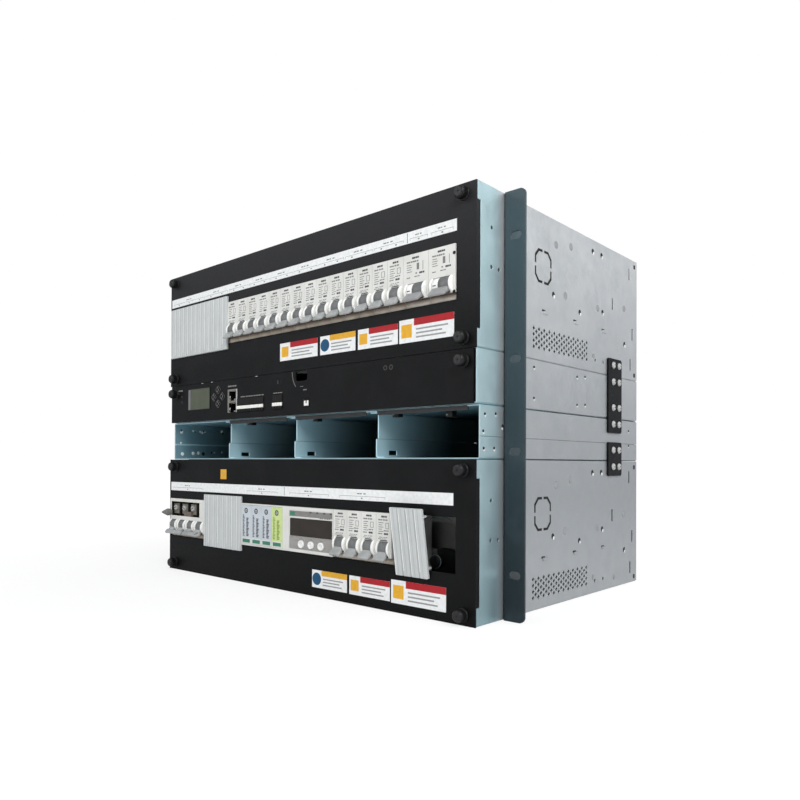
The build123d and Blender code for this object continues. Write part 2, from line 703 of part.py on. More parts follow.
def controller_cover():
    """Cover of the controller unit: two tabs for the thumbscrews, open at the cable notch."""
    height = CONTROLLER_HEIGHT
    start = PANEL_Y + CONTROLLER_RETURN + NOTCH_CLEARANCE
    half = HALF_WIDTH - CONTROLLER_PANEL_INSET - PANEL_SHEET - FIT
    front = rect(-half, half, PANEL_BACK, start) - rect(
        CABLE_NOTCH_X - CABLE_NOTCH_WIDTH / 2, CABLE_NOTCH_X + CABLE_NOTCH_WIDTH / 2, PANEL_BACK, start)
    cover = drop_in_cover(height, start) + along_z(front, height - SHEET, height)
    tab = rect(half - CONTROLLER_TAB, half, height - LIP_HEIGHT, height)
    tab -= Pos(HALF_WIDTH - THUMB_INSET, height - CONTROLLER_THUMB_MARGIN) * thumb_hole(FIT / 2)
    cover += both_sides(along_y(tab, PANEL_BACK, PANEL_BACK + SHEET))
    return Pos(Z=CONTROLLER_Z) * cover


def controller_board():
    """Circuit board on its posts."""
    front = PANEL_BACK + BOARD_FRONT_GAP
    board = rect(-BOARD_WIDTH / 2, BOARD_WIDTH / 2, front, front + BOARD_DEPTH)
    return along_z(board, BOARD_TOP - BOARD_SHEET, BOARD_TOP)


def controller_display():
    """Display glass in the panel, on a board that also carries the button switches."""
    place = Pos(DISPLAY_X, CONTROLLER_Z + DISPLAY_Z)
    board_y = PANEL_BACK + DISPLAY_BOARD_SETBACK
    glass = along_y(place * Rectangle(DISPLAY_WIDTH, DISPLAY_HEIGHT), PANEL_Y + FIT, board_y)
    left, bottom = DISPLAY_X - DISPLAY_WIDTH / 2, CONTROLLER_Z + DISPLAY_Z - DISPLAY_BOARD_HEIGHT / 2
    board = rect(left, left + DISPLAY_BOARD_WIDTH, bottom, bottom + DISPLAY_BOARD_HEIGHT)
    return glass + along_y(board, board_y, board_y + BOARD_SHEET)


def controller_button(place):
    """Square button turned on its corner, with a flange behind the panel."""
    cap = Rot(Z=45) * Rectangle(BUTTON_SIZE, BUTTON_SIZE)
    flange = Rot(Z=45) * Rectangle(BUTTON_SIZE + 2 * BUTTON_FLANGE, BUTTON_SIZE + 2 * BUTTON_FLANGE)
    seat = PANEL_BACK + BUTTON_FIT
    button = along_y(cap, PANEL_Y - BUTTON_PROUD, seat)
    button += along_y(flange, seat, seat + BUTTON_FLANGE_SHEET)
    return Pos(place[0], 0, place[1]) * button


def network_ports():
    """Two stacked sockets with latch grooves."""
    front = PANEL_Y - FIT
    body = along_y(connector_drawings(0)[0], front, front + PORT_DEPTH)
    for row in (1, 3):
        z = BOARD_TOP + row * PORT_HEIGHT / 4
        cavity = Pos(PORT_X, z) * Rectangle(PORT_CAVITY_WIDTH, PORT_CAVITY_HEIGHT)
        cavity += Pos(PORT_X, z - PORT_CAVITY_HEIGHT / 2) * Rectangle(PORT_TAB_WIDTH, 2 * PORT_TAB_HEIGHT)
        body -= along_y(cavity, front, front + PORT_CAVITY_DEPTH)
    return body


def small_socket(drawing):
    """Small shrouded socket."""
    front = PANEL_Y - FIT
    hollow = offset(drawing, amount=-SOCKET_WALL)
    return along_y(drawing, front, front + TERMINAL_DEPTH) - along_y(hollow, front, front + SOCKET_DEPTH)


def terminal_blocks():
    """The two terminal rows and the small socket beside them."""
    _, wide, narrow, socket = connector_drawings(0)
    front = PANEL_Y - TERMINAL_PROUD
    rows = [along_y(drawing, front, front + TERMINAL_DEPTH) for drawing in (wide, narrow)]
    return [*rows, small_socket(socket)]


# Rectifier shelf

def slot_middles():
    """Middles of the rectifier slots."""
    return centred_row(SLOT_PITCH, SLOT_COUNT)


def divider_places():
    """Middles of the walls between the slots."""
    return centred_row(SLOT_PITCH, SLOT_COUNT - 1)


def shelf_chassis():
    """Tray with low side walls and a full rear wall with exhaust slots."""
    back = rear_wall(SHELF_HEIGHT - SHEET)
    z0, z1 = EXHAUST_MARGIN, SHELF_HEIGHT - EXHAUST_MARGIN
    starts = [middle - SLOT_PITCH / 2 + EXHAUST_MARGIN for middle in slot_middles()]
    lefts = [start + index * EXHAUST_SLOT_PITCH for start in starts for index in range(EXHAUST_SLOTS)]
    slots = [rect(left, left + EXHAUST_SLOT_WIDTH, z0, z1) for left in lefts]
    back -= along_y(Sketch() + slots, REAR_Y - 2 * SHEET, REAR_Y + SHEET)
    return Pos(Z=SHELF_Z) * (tray(SHELF_SEAM, SHELF_FRONT) + back)


def shelf_cover():
    """Cover whose skirts come down to the seam of the tray."""
    foot, top = SHELF_SEAM + SEAM_GAP, SHELF_HEIGHT
    corners = [(HALF_WIDTH, foot), (HALF_WIDTH, top), (-HALF_WIDTH, top), (-HALF_WIDTH, foot)]
    return Pos(Z=SHELF_Z) * along_y(folded(corners, SHEET, BEND), SHELF_FRONT, REAR_Y)


def slot_divider(x):
    """Wall between two slots: a lower angle on the tray and an upper one under the cover."""
    lower_front = SHELF_FRONT + DIVIDER_SETBACK
    end = REAR_Y - SHEET - DIVIDER_END_GAP
    left, right = x - DIVIDER_SHEET / 2, x + DIVIDER_SHEET / 2
    low, high = SHEET, SHELF_HEIGHT - SHEET
    lower_corners = [(left, SHELF_SEAM), (left, low), (left + DIVIDER_FOOT, low)]
    upper_corners = [(right - DIVIDER_FOOT, high), (right, high), (right, SHELF_SEAM + SEAM_GAP)]
    lower = along_y(folded(lower_corners, DIVIDER_SHEET, BEND), lower_front, end)
    upper = along_y(
        folded(upper_corners[::-1], DIVIDER_SHEET, BEND), lower_front + DIVIDER_STEP, end)
    window = rect(PANEL_Y + DIVIDER_WINDOW_START, PANEL_Y + DIVIDER_WINDOW_START + DIVIDER_WINDOW_LENGTH,
                  low + DIVIDER_WINDOW_SILL, low + DIVIDER_WINDOW_SILL + DIVIDER_WINDOW_HEIGHT)
    lower -= along_x(window, left - DIVIDER_SHEET, right + DIVIDER_SHEET)
    return [Pos(Z=SHELF_Z) * lower, Pos(Z=SHELF_Z) * upper]


def slot_connector(x):
    """Shrouded connector on the rear wall of a slot."""
    middle = Pos(x + SLOT_PITCH / 2 - CONNECTOR_WIDTH / 2 - EXHAUST_MARGIN, SHELF_Z + SHELF_HEIGHT / 2)
    back = REAR_Y - SHEET
    front = back - CONNECTOR_DEPTH
    body = along_y(middle * Rectangle(CONNECTOR_WIDTH, CONNECTOR_HEIGHT), front, back)
    mouth = Rectangle(CONNECTOR_WIDTH - 2 * CONNECTOR_WALL, CONNECTOR_HEIGHT - 2 * CONNECTOR_WALL)
    return body - along_y(middle * mouth, front, front + CONNECTOR_MOUTH_DEPTH)


# Ears, joiner plates and fasteners

def ear():
    """Right rack ear: a leg on the side walls and a slotted flange."""
    tip = RACK_WIDTH / 2
    section = folded([(HALF_WIDTH, EAR_LEG), (HALF_WIDTH, 0), (tip, 0)], EAR_SHEET, EAR_BEND)
    front_view = rect(HALF_WIDTH - SHEET, tip, 0, STACK_HEIGHT)
    front_view = fillet(front_view.vertices().group_by(Axis.X)[-1], EAR_CORNER)
    heights = [EAR_OUTER_SLOT, EAR_INNER_SLOT]
    heights += [(UPPER_Z + UPPER_UNITS * RACK_STEP_HEIGHT) - z for z in heights]
    slot = SlotOverall(EAR_SLOT_LENGTH, EAR_SLOT_HEIGHT)
    front_view -= spread(slot, [(tip - EAR_SLOT_MARGIN, z) for z in heights])
    return along_z(section, 0, STACK_HEIGHT) & along_y(front_view, 0, EAR_LEG)


def joiner_spans():
    """Lower and upper edge of each joiner plate, about the seams that it bridges."""
    upper = (CONTROLLER_Z - UPPER_JOINER_BELOW, UPPER_Z + UPPER_JOINER_ABOVE)
    lower = (SHELF_Z - LOWER_JOINER_BELOW, SHELF_Z + LOWER_JOINER_ABOVE)
    return [lower, upper]


def joiner_screw_places():
    """The (y, z) places of the screws: two in each unit that a plate reaches."""
    first = JOINER_Y + JOINER_SCREW_START
    steps = (-JOINER_SCREW_BELOW, JOINER_SCREW_ABOVE)
    heights = [seam + step for seam in (SHELF_Z, CONTROLLER_Z, UPPER_Z) for step in steps]
    return [(y, z) for z in heights for y in (first, first + JOINER_SCREW_PITCH)]


def joiner_plate(span):
    """Black plate on the right side walls, across the seams between the units."""
    z0, z1 = span
    face = rect(JOINER_Y, JOINER_Y + JOINER_WIDTH, z0, z1)
    face = chamfer(face.vertices(), JOINER_CORNER)
    return along_x(face, HALF_WIDTH, HALF_WIDTH + JOINER_SHEET)


def side_screw(place):
    """Head of a screw on a joiner plate of the right side."""
    outer = HALF_WIDTH + JOINER_SHEET
    head = flat_sided(SCREW_HEAD_DIAMETER, HEAD_SIDES)
    return Pos(0, *place) * along_x(head, outer, outer + SCREW_HEAD_HEIGHT)


def thumbscrew():
    """Captive thumbscrew about its own axis: turned head and shank."""
    head = along_y(flat_sided(THUMB_HEAD_DIAMETER, TURNED_SIDES), PANEL_Y - THUMB_HEAD_LENGTH, PANEL_Y)
    shank = along_y(flat_sided(THUMB_SHANK_DIAMETER, HOLE_SIDES), PANEL_Y, PANEL_Y + THUMB_SHANK_LENGTH)
    return head + shank


def all_thumbscrews():
    """Four thumbscrews in each distribution panel and two in the controller's."""
    places = [(x, z) for x, z in thumb_places(HALF_WIDTH, LOWER_HEIGHT)]
    places += [(x, UPPER_Z + z) for x, z in thumb_places(HALF_WIDTH, UPPER_HEIGHT)]
    places += controller_thumb_places()
    return [Pos(x, 0, z) * thumbscrew() for x, z in places]


# Assembly

def static_nodes():
    """Every piece that stays still, by node name."""
    housing = breaker_housing(POLE_PITCH, pole_places(1), BARREL_WIDTH)
    wide_housing = breaker_housing(WIDE_PITCH, pole_places(1), WIDE_BARREL_WIDTH)
    branches = [(x, UPPER_MIDDLE) for x in row_from(BRANCH_LEFT, POLE_PITCH, BRANCH_COUNT)]
    outlets = [(x, LOWER_MIDDLE) for x in row_from(OUTLET_LEFT, POLE_PITCH, OUTLET_COUNT)]
    wides = row_from(WIDE_LEFT, WIDE_PITCH, WIDE_COUNT)
    cartridges = row_from(ARRESTER_LEFT + ARRESTER_LEFT_WALL, CARTRIDGE_PITCH, CARTRIDGE_COUNT)
    plates = [joiner_plate(span) for span in joiner_spans()]
    side_screws = [side_screw(place) for place in joiner_screw_places()]
    right_ear = ear()
    return {
        "lower_chassis": [distribution_chassis(0, LOWER_HEIGHT)],
        "lower_front_panel": [distribution_panel(0, LOWER_HEIGHT)],
        "upper_chassis": [distribution_chassis(UPPER_Z, UPPER_HEIGHT)],
        "upper_front_panel": [distribution_panel(UPPER_Z, UPPER_HEIGHT)],
        "distribution_covers": [
            distribution_cover(0, LOWER_HEIGHT), distribution_cover(UPPER_Z, UPPER_HEIGHT)],
        "din_rails": [din_rail(LOWER_MIDDLE), din_rail(UPPER_MIDDLE)],
        "breaker_housings": [Pos(x, 0, z) * housing for x, z in branches + outlets],
        "wide_breaker_housings": [Pos(x, 0, UPPER_MIDDLE) * wide_housing for x in wides],
        "input_breaker_housings": [Pos(WINDOW_LEFT + INPUT_WIDTH / 2, 0, LOWER_MIDDLE) * input_housing()],
        "arrester_base": [Pos(ARRESTER_LEFT, 0, LOWER_MIDDLE) * arrester_base()],
        "arrester_cartridges": [Pos(x, 0, LOWER_MIDDLE) * arrester_cartridge() for x in cartridges],
        "meter_housing": [Pos(METER_MIDDLE, 0, LOWER_MIDDLE) * meter_housing()],
        "meter_display": [Pos(METER_MIDDLE, 0, LOWER_MIDDLE) * along_y(
            screen_drawing(0), FACE_Y - METER_SCREEN_RISE, FACE_Y + METER_SCREEN_DEPTH)],
        "blanking_strips": [
            Pos(WINDOW_LEFT, 0, UPPER_MIDDLE) * blanking_strip(BRANCH_LEFT - WINDOW_LEFT),
            Pos(STRIP_LEFT, 0, LOWER_MIDDLE) * blanking_strip(LOWER_STRIP_WIDTH)],
        "loose_blanking_strip": [loose_strip()],
        "controller_chassis": [controller_chassis()],
        "controller_cover": [controller_cover()],
        "controller_front_panel": [controller_panel()],
        "controller_display": [controller_display()],
        "controller_board": [controller_board()],
        "network_ports": [network_ports()],
        "terminal_blocks": terminal_blocks(),
        "shelf_chassis": [shelf_chassis()],
        "shelf_cover": [shelf_cover()],
        "slot_dividers": [half for x in divider_places() for half in slot_divider(x)],
        "slot_connectors": [slot_connector(x) for x in slot_middles()],
        "right_ear": [right_ear],
        "left_ear": [mirror(right_ear, about=Plane.YZ)],
        "joiner_plates": [side for plate in plates for side in both_sides(plate)],
        "side_screws": [side for one in side_screws for side in both_sides(one)],
        "thumbscrews": all_thumbscrews(),
    }


def toggle_places():
    """Pivot of every toggle and handle, by node name: (x, y, z)."""
    rows = [
        ("branch_toggle", BRANCH_LEFT, POLE_PITCH, BRANCH_COUNT, UPPER_MIDDLE),
        ("wide_toggle", WIDE_LEFT, WIDE_PITCH, WIDE_COUNT, UPPER_MIDDLE),
        ("outlet_toggle", OUTLET_LEFT, POLE_PITCH, OUTLET_COUNT, LOWER_MIDDLE),
        ("input_handle", WINDOW_LEFT, INPUT_PITCH, INPUT_COUNT, LOWER_MIDDLE),
    ]
    return {
        f"{name}_{index + 1:02d}": (x, PIVOT_Y, middle - PIVOT_DROP)
        for name, left, pitch, count, middle in rows
        for index, x in enumerate(row_from(left, pitch, count))
    }


def moving_nodes():
    """Every toggle, handle and button at rest, by node name."""
    shapes = {
        "branch_toggle": toggle(pole_places(1), BARREL_WIDTH, PADDLE_WIDTH),
        "wide_toggle": toggle(pole_places(1), WIDE_BARREL_WIDTH, WIDE_PADDLE_WIDTH),
        "outlet_toggle": toggle(pole_places(1), BARREL_WIDTH, PADDLE_WIDTH),
        "input_handle": toggle(pole_places(INPUT_POLES), BARREL_WIDTH, INPUT_PADDLE_WIDTH),
    }
    nodes = {name: [Pos(*place) * shapes[name[:-3]]] for name, place in toggle_places().items()}
    for index, (x, z) in enumerate(meter_button_places()):
        nodes[f"meter_button_{index + 1}"] = [Pos(METER_MIDDLE + x, 0, LOWER_MIDDLE + z) * meter_button()]
    for name, place in button_places().items():
        nodes[f"controller_button_{name}"] = [controller_button(place)]
    return nodes


os.makedirs("parts", exist_ok=True)
for node, solids in (static_nodes() | moving_nodes()).items():
    pieces = [solid for shape in solids for solid in shape.solids()]
    export_step(Compound(pieces) if len(pieces) > 1 else pieces[0], f"parts/{node}.step")
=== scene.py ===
import bpy
import bmesh
import json
import math
from mathutils import Matrix, Vector


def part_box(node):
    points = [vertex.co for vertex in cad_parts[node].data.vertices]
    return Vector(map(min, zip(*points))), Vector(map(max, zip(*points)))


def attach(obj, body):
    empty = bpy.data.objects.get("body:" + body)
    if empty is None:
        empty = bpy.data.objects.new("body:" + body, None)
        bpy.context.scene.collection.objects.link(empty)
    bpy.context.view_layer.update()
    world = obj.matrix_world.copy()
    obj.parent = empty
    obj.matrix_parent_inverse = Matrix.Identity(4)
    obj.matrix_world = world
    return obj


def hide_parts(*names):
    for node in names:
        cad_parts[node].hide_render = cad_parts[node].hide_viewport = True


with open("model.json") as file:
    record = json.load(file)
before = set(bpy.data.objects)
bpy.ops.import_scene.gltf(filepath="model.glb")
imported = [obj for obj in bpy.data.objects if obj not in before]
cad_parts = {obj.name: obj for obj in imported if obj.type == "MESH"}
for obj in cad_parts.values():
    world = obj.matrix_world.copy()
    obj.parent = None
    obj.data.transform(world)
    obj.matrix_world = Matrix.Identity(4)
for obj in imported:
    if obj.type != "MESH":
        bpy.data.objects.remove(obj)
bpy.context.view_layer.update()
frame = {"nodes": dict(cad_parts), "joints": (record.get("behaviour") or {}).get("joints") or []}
nodes = frame["nodes"]
MM = 0.001
BEVEL_ANGLE = 40

# Places of the part, in millimetres
RACK_UNIT = 44.45
PANEL_Y = -40.0
SHELF_Z = 3 * RACK_UNIT
CONTROLLER_Z = 4 * RACK_UNIT
UPPER_Z = 5 * RACK_UNIT
HALF_WIDTH = 221.0


# Materials

def color_of(value):
    """RGBA from a three-part colour."""
    return (*value, 1.0)


class Surface:
    """One node material: a principled shader with helpers for grain, colour variation, tints by place that
    paint shade and light, roughness, bumps and rounded edges.
    """

    def __init__(self, name, base, roughness, metallic=0.0, **inputs):
        self.material = bpy.data.materials.new(name)
        self.material.use_nodes = True
        self.tree = self.material.node_tree
        self.shader = self.tree.nodes["Principled BSDF"]
        self.shader.inputs["Base Color"].default_value = color_of(base)
        self.shader.inputs["Roughness"].default_value = roughness
        self.shader.inputs["Metallic"].default_value = metallic
        for key, value in inputs.items():
            self.shader.inputs[key.replace("_", " ")].default_value = value
        self.coords = self.tree.nodes.new("ShaderNodeTexCoord")
        self.height = None

    def link(self, a, b):
        self.tree.links.new(a, b)

    def node(self, kind, **settings):
        node = self.tree.nodes.new(kind)
        for key, value in settings.items():
            setattr(node, key, value)
        return node

    def noise(self, scale, detail=3.0):
        noise = self.node("ShaderNodeTexNoise")
        noise.inputs["Scale"].default_value = scale
        noise.inputs["Detail"].default_value = detail
        noise.inputs["Roughness"].default_value = 0.55
        self.link(self.coords.outputs["Object"], noise.inputs["Vector"])
        return noise.outputs["Fac"]

    def cells(self, scale):
        voronoi = self.node("ShaderNodeTexVoronoi")
        voronoi.inputs["Scale"].default_value = scale
        self.link(self.coords.outputs["Object"], voronoi.inputs["Vector"])
        return voronoi.outputs["Color"]

    def span(self, value, low, high, out_low=0.0, out_high=1.0):
        ranged = self.node("ShaderNodeMapRange")
        limits = {"From Min": low, "From Max": high, "To Min": out_low, "To Max": out_high}
        for key, number in limits.items():
            ranged.inputs[key].default_value = number
        self.link(value, ranged.inputs["Value"])
        return ranged.outputs["Result"]

    def tint(self, value, other, low=0.35, high=0.65):
        """Varies the base colour towards another one where the value is high."""
        mix = self.node("ShaderNodeMix", data_type="RGBA")
        current = self.shader.inputs["Base Color"]
        if current.is_linked:
            self.link(current.links[0].from_socket, mix.inputs["A"])
        else:
            mix.inputs["A"].default_value = current.default_value
        mix.inputs["B"].default_value = color_of(other)
        self.link(self.span(value, low, high), mix.inputs["Factor"])
        self.link(mix.outputs["Result"], current)
        return self

    def place(self, axis):
        """Object coordinate along one axis, in metres."""
        split = self.node("ShaderNodeSeparateXYZ")
        self.link(self.coords.outputs["Object"], split.inputs["Vector"])
        return split.outputs[axis]

    def both(self, first, second, operation="MULTIPLY"):
        """Two values joined by an operation."""
        math_node = self.node("ShaderNodeMath", operation=operation)
        self.link(first, math_node.inputs[0])
        if isinstance(second, float):
            math_node.inputs[1].default_value = second
        elif second is not None:
            self.link(second, math_node.inputs[1])
        return math_node.outputs[0]

    def gloss(self, value, smooth, rough, low=0.3, high=0.7):
        self.link(self.span(value, low, high, smooth, rough), self.shader.inputs["Roughness"])
        return self

    def bump(self, value, distance):
        bump = self.node("ShaderNodeBump")
        bump.inputs["Distance"].default_value = distance
        bump.inputs["Strength"].default_value = 1.0
        self.link(value, bump.inputs["Height"])
        if self.height:
            self.link(self.height, bump.inputs["Normal"])
        self.height = bump.outputs["Normal"]
        self.link(self.height, self.shader.inputs["Normal"])
        return self

    def rounded(self, radius):
        """Softens sharp edges in the shading."""
        bevel = self.node("ShaderNodeBevel")
        bevel.inputs["Radius"].default_value = radius
        self.height = bevel.outputs["Normal"]
        self.link(self.height, self.shader.inputs["Normal"])
        return self


def make_steel(name):
    """Galvanised sheet: spangle, painted shade darker towards the floor, a painted teal reflection at the
    front, more painted shade low down at the front, and inside the shelf a painted blue reflection darkened
    deeper in by painted shade.
    """
    steel = Surface(name, (0.54, 0.555, 0.56), 0.40, 0.62)
    steel.rounded(0.0008)
    steel.tint(steel.cells(140), (0.48, 0.51, 0.52), 0.2, 0.8)
    steel.tint(steel.noise(9, 2.0), (0.60, 0.61, 0.615), 0.35, 0.7)
    # Painted shade: darker towards the floor.
    steel.tint(steel.place("Z"), (0.33, 0.345, 0.355), 0.34, 0.10)
    # Painted reflection: teal at the front.
    steel.tint(steel.place("Y"), (0.42, 0.56, 0.59), 0.0, -0.012)
    # Painted shade: darker low down at the front.
    at_front = steel.span(steel.place("Y"), 0.0, -0.012)
    low_down = steel.span(steel.place("Z"), 0.16, 0.0)
    steel.tint(steel.both(at_front, low_down), (0.22, 0.32, 0.35), 0.0, 1.0)
    # Inside the shelf: a painted blue reflection, then painted shade deeper in.
    if name == "shelf_steel":
        from_middle = steel.both(steel.place("X"), None, "ABSOLUTE")
        between_walls = steel.span(from_middle, 0.2205, 0.2203)
        inside = steel.both(between_walls, steel.span(steel.place("Y"), -0.0338, -0.0334))
        steel.tint(inside, (0.34, 0.56, 0.64), 0.0, 1.0)
        depth = steel.both(inside, steel.span(steel.place("Y"), -0.03, 0.09))
        steel.tint(depth, (0.05, 0.085, 0.095), 0.0, 1.0)
    steel.gloss(steel.noise(60, 4.0), 0.32, 0.48)
    steel.bump(steel.noise(900, 2.0), 0.00003)
    return steel


def make_ledge():
    """Housing plastic under the toggles: browner at the left, with painted shade under the toggles that
    darkens it towards its upper edge.
    """
    ledge = Surface("ledge_plastic", (0.46, 0.40, 0.32), 0.45)
    ledge.tint(ledge.place("X"), (0.60, 0.56, 0.50), 0.05, 0.20)
    ledge.rounded(0.0004)
    ledge.tint(ledge.noise(60), (0.38, 0.32, 0.25), 0.4, 0.7)
    # Painted shade under the toggles: darker towards the ledge's upper edge.
    height = ledge.both(ledge.place("Z"), 5 * RACK_UNIT * MM, "MODULO")
    ledge.tint(height, (0.10, 0.07, 0.05), 0.0425, 0.0460)
    return ledge


def make_finish(name, base, roughness, metallic=0.0, specular=0.5, edge=0.0,
                layers=(), gloss=None, bump=None):
    """A material from values: each layer tints along an axis or by a noise (scale, detail)."""
    surface = Surface(name, base, roughness, metallic, Specular_IOR_Level=specular)
    if edge:
        surface.rounded(edge)
    for where, color, low, high in layers:
        value = surface.place(where) if isinstance(where, str) else surface.noise(*where)
        surface.tint(value, color, low, high)
    if gloss:
        scale, detail, smooth, rough = gloss
        surface.gloss(surface.noise(scale, detail), smooth, rough)
    if bump:
        scale, distance = bump
        surface.bump(surface.noise(scale, 2.0), distance)
    return surface


FINISHES = {
    # Dividers: the pale cyan base is a painted sky reflection, darkened deeper in by painted shade, with a
    # darker teal along the front edges.
    "galvanised_inner": {
        "base": (0.62, 0.86, 0.93), "roughness": 0.42, "metallic": 0.45, "edge": 0.0006,
        "layers": [((14, 2.0), (0.52, 0.76, 0.84), 0.35, 0.7), ("Y", (0.07, 0.12, 0.135), -0.022, 0.085),
                   ("Y", (0.22, 0.32, 0.35), -0.0334, -0.0339)],
        "gloss": (70, 3.0, 0.32, 0.5), "bump": (900, 0.00003)},
    # Front panels: a painted sheen, lighter towards the top, and painted shade, darker near the floor.
    "black_panel": {
        "base": (0.0036, 0.0038, 0.0041), "roughness": 0.46, "specular": 0.11, "edge": 0.0006,
        "layers": [((30,), (0.006, 0.0063, 0.0067), 0.4, 0.7), ("Z", (0.023, 0.023, 0.0245), 0.24, 0.36),
                   ("Z", (0.0024, 0.0025, 0.0026), 0.09, 0.0)],
        "gloss": (420, 3.0, 0.38, 0.54), "bump": (2200, 0.00004)},
    # Ears: a painted bluish sheen growing towards the top, which leaves them darker towards the floor as
    # painted shade.
    "black_ear": {
        "base": (0.012, 0.021, 0.026), "roughness": 0.42, "specular": 0.3, "edge": 0.0012,
        "layers": [("Z", (0.045, 0.075, 0.086), 0.03, 0.33), ((25,), (0.040, 0.060, 0.068), 0.5, 0.9)],
        "gloss": (300, 3.0, 0.34, 0.5), "bump": (2000, 0.00004)},
    "bright_steel": {
        "base": (0.75, 0.75, 0.76), "roughness": 0.22, "metallic": 1.0, "edge": 0.0004,
        "gloss": (900, 3.0, 0.16, 0.32)},
    "black_screw": {
        "base": (0.006, 0.006, 0.0065), "roughness": 0.38, "specular": 0.3, "edge": 0.0004,
        "gloss": (900, 3.0, 0.28, 0.45)},
    "white_plastic": {
        "base": (0.66, 0.66, 0.625), "roughness": 0.42, "edge": 0.0004,
        "layers": [((45,), (0.59, 0.59, 0.55), 0.4, 0.7)],
        "gloss": (1400, 2.0, 0.38, 0.5), "bump": (3000, 0.00002)},
    "pale_plastic": {
        "base": (0.52, 0.56, 0.60), "roughness": 0.45, "edge": 0.0004,
        "layers": [((60,), (0.46, 0.50, 0.54), 0.4, 0.7)], "bump": (3000, 0.00002)},
    "grey_plastic": {
        "base": (0.50, 0.52, 0.515), "roughness": 0.5, "edge": 0.0003,
        "layers": [((30,), (0.46, 0.48, 0.475), 0.4, 0.7)], "bump": (2500, 0.00003)},
    "toggle_plastic": {
        "base": (0.36, 0.37, 0.365), "roughness": 0.36, "edge": 0.0006,
        "layers": [((120, 2.0), (0.28, 0.29, 0.285), 0.4, 0.7)], "bump": (2500, 0.00003)},
    "rail_steel": {
        "base": (0.45, 0.45, 0.44), "roughness": 0.35, "metallic": 0.9, "edge": 0.0004,
        "layers": [((40,), (0.35, 0.35, 0.34), 0.4, 0.7)]},
    "display_glass": {
        "base": (0.068, 0.076, 0.050), "roughness": 0.2, "specular": 0.3,
        "layers": [((60, 2.0), (0.085, 0.095, 0.066), 0.35, 0.7)]},
    "meter_glass": {
        "base": (0.030, 0.027, 0.023), "roughness": 0.3, "specular": 0.1,
        "layers": [((35, 2.0), (0.044, 0.035, 0.030), 0.35, 0.7)]},
    "circuit_board": {
        "base": (0.02, 0.10, 0.05), "roughness": 0.4,
        "layers": [((200, 4.0), (0.03, 0.14, 0.07), 0.45, 0.6)]},
    "black_plastic": {
        "base": (0.0055, 0.0057, 0.006), "roughness": 0.4, "specular": 0.16, "edge": 0.0003,
        "bump": (2500, 0.00003)},
    # Toggle barrels: the toggle plastic in painted shade, darker than the paddles.
    "toggle_barrel_shade": {
        "base": (0.14, 0.145, 0.145), "roughness": 0.4, "edge": 0.0004,
        "layers": [((120, 2.0), (0.10, 0.105, 0.105), 0.4, 0.7)]},
    "screw_face": {
        "base": (0.010, 0.0105, 0.011), "roughness": 0.3, "specular": 0.3, "edge": 0.0003,
        "gloss": (900, 3.0, 0.25, 0.4)},
    # Near-black of painted shade, used in bores, pockets, holes, slots and gaps.
    "slot_dark": {
        "base": (0.010, 0.009, 0.008), "roughness": 0.6, "specular": 0.15,
        "layers": [((90,), (0.022, 0.020, 0.018), 0.4, 0.7)]},
    "port_shell": {
        "base": (0.20, 0.19, 0.165), "roughness": 0.38, "metallic": 0.3,
        "layers": [((120,), (0.15, 0.14, 0.12), 0.4, 0.7)]},
}

# Prints, labels, small plain parts, and inks of painted shade and painted highlights
INKS = {
    "cheek_white": (0.86, 0.86, 0.83), "button_white": (0.80, 0.80, 0.78), "wide_paddle": (0.30, 0.30, 0.30),
    "soft_print": (0.19, 0.19, 0.18), "groove_line": (0.17, 0.175, 0.175), "lime_plastic": (0.55, 0.66, 0.28),
    "lime_print": (0.22, 0.30, 0.03), "green_window": (0.05, 0.20, 0.13), "meter_grey": (0.30, 0.29, 0.275),
    "meter_band": (0.22, 0.21, 0.20), "brown_plastic": (0.15, 0.12, 0.10), "dim_lamp": (0.035, 0.026, 0.042),
    "dim_rim": (0.07, 0.07, 0.065), "window_ring": (0.10, 0.13, 0.14), "pressed_painted_shade": (0.24, 0.245, 0.25),
    "pocket_brown": (0.18, 0.165, 0.125), "lug_metal": (0.16, 0.155, 0.14), "screw_dull": (0.38, 0.38, 0.37),
    "hole_glint": (0.64, 0.65, 0.65), "edge_glint": (0.50, 0.52, 0.52), "display_rim": (0.17, 0.17, 0.18),
    "terminal_white": (0.82, 0.81, 0.76), "lip_painted_shade": (0.045, 0.045, 0.045),
    "label_white": (0.78, 0.79, 0.78), "label_red": (0.38, 0.014, 0.020),
    "label_yellow": (0.68, 0.36, 0.03), "label_blue": (0.010, 0.072, 0.16),
    "label_amber": (0.72, 0.38, 0.03), "label_grey": (0.30, 0.30, 0.30), "dark_print": (0.06, 0.06, 0.065),
}


def make_materials():
    """Every material of the part, by name."""
    made = {name: make_steel(name) for name in ("galvanised", "shelf_steel")}
    made["ledge_plastic"] = make_ledge()
    for name, values in FINISHES.items():
        made[name] = make_finish(name, **values)
    for name, color in INKS.items():
        made[name] = Surface(name, color, 0.5, Specular_IOR_Level=0.2)
        made[name].tint(made[name].noise(300), [value * 0.86 for value in color], 0.4, 0.75)
    return {name: surface.material for name, surface in made.items()}


MATERIALS = make_materials()

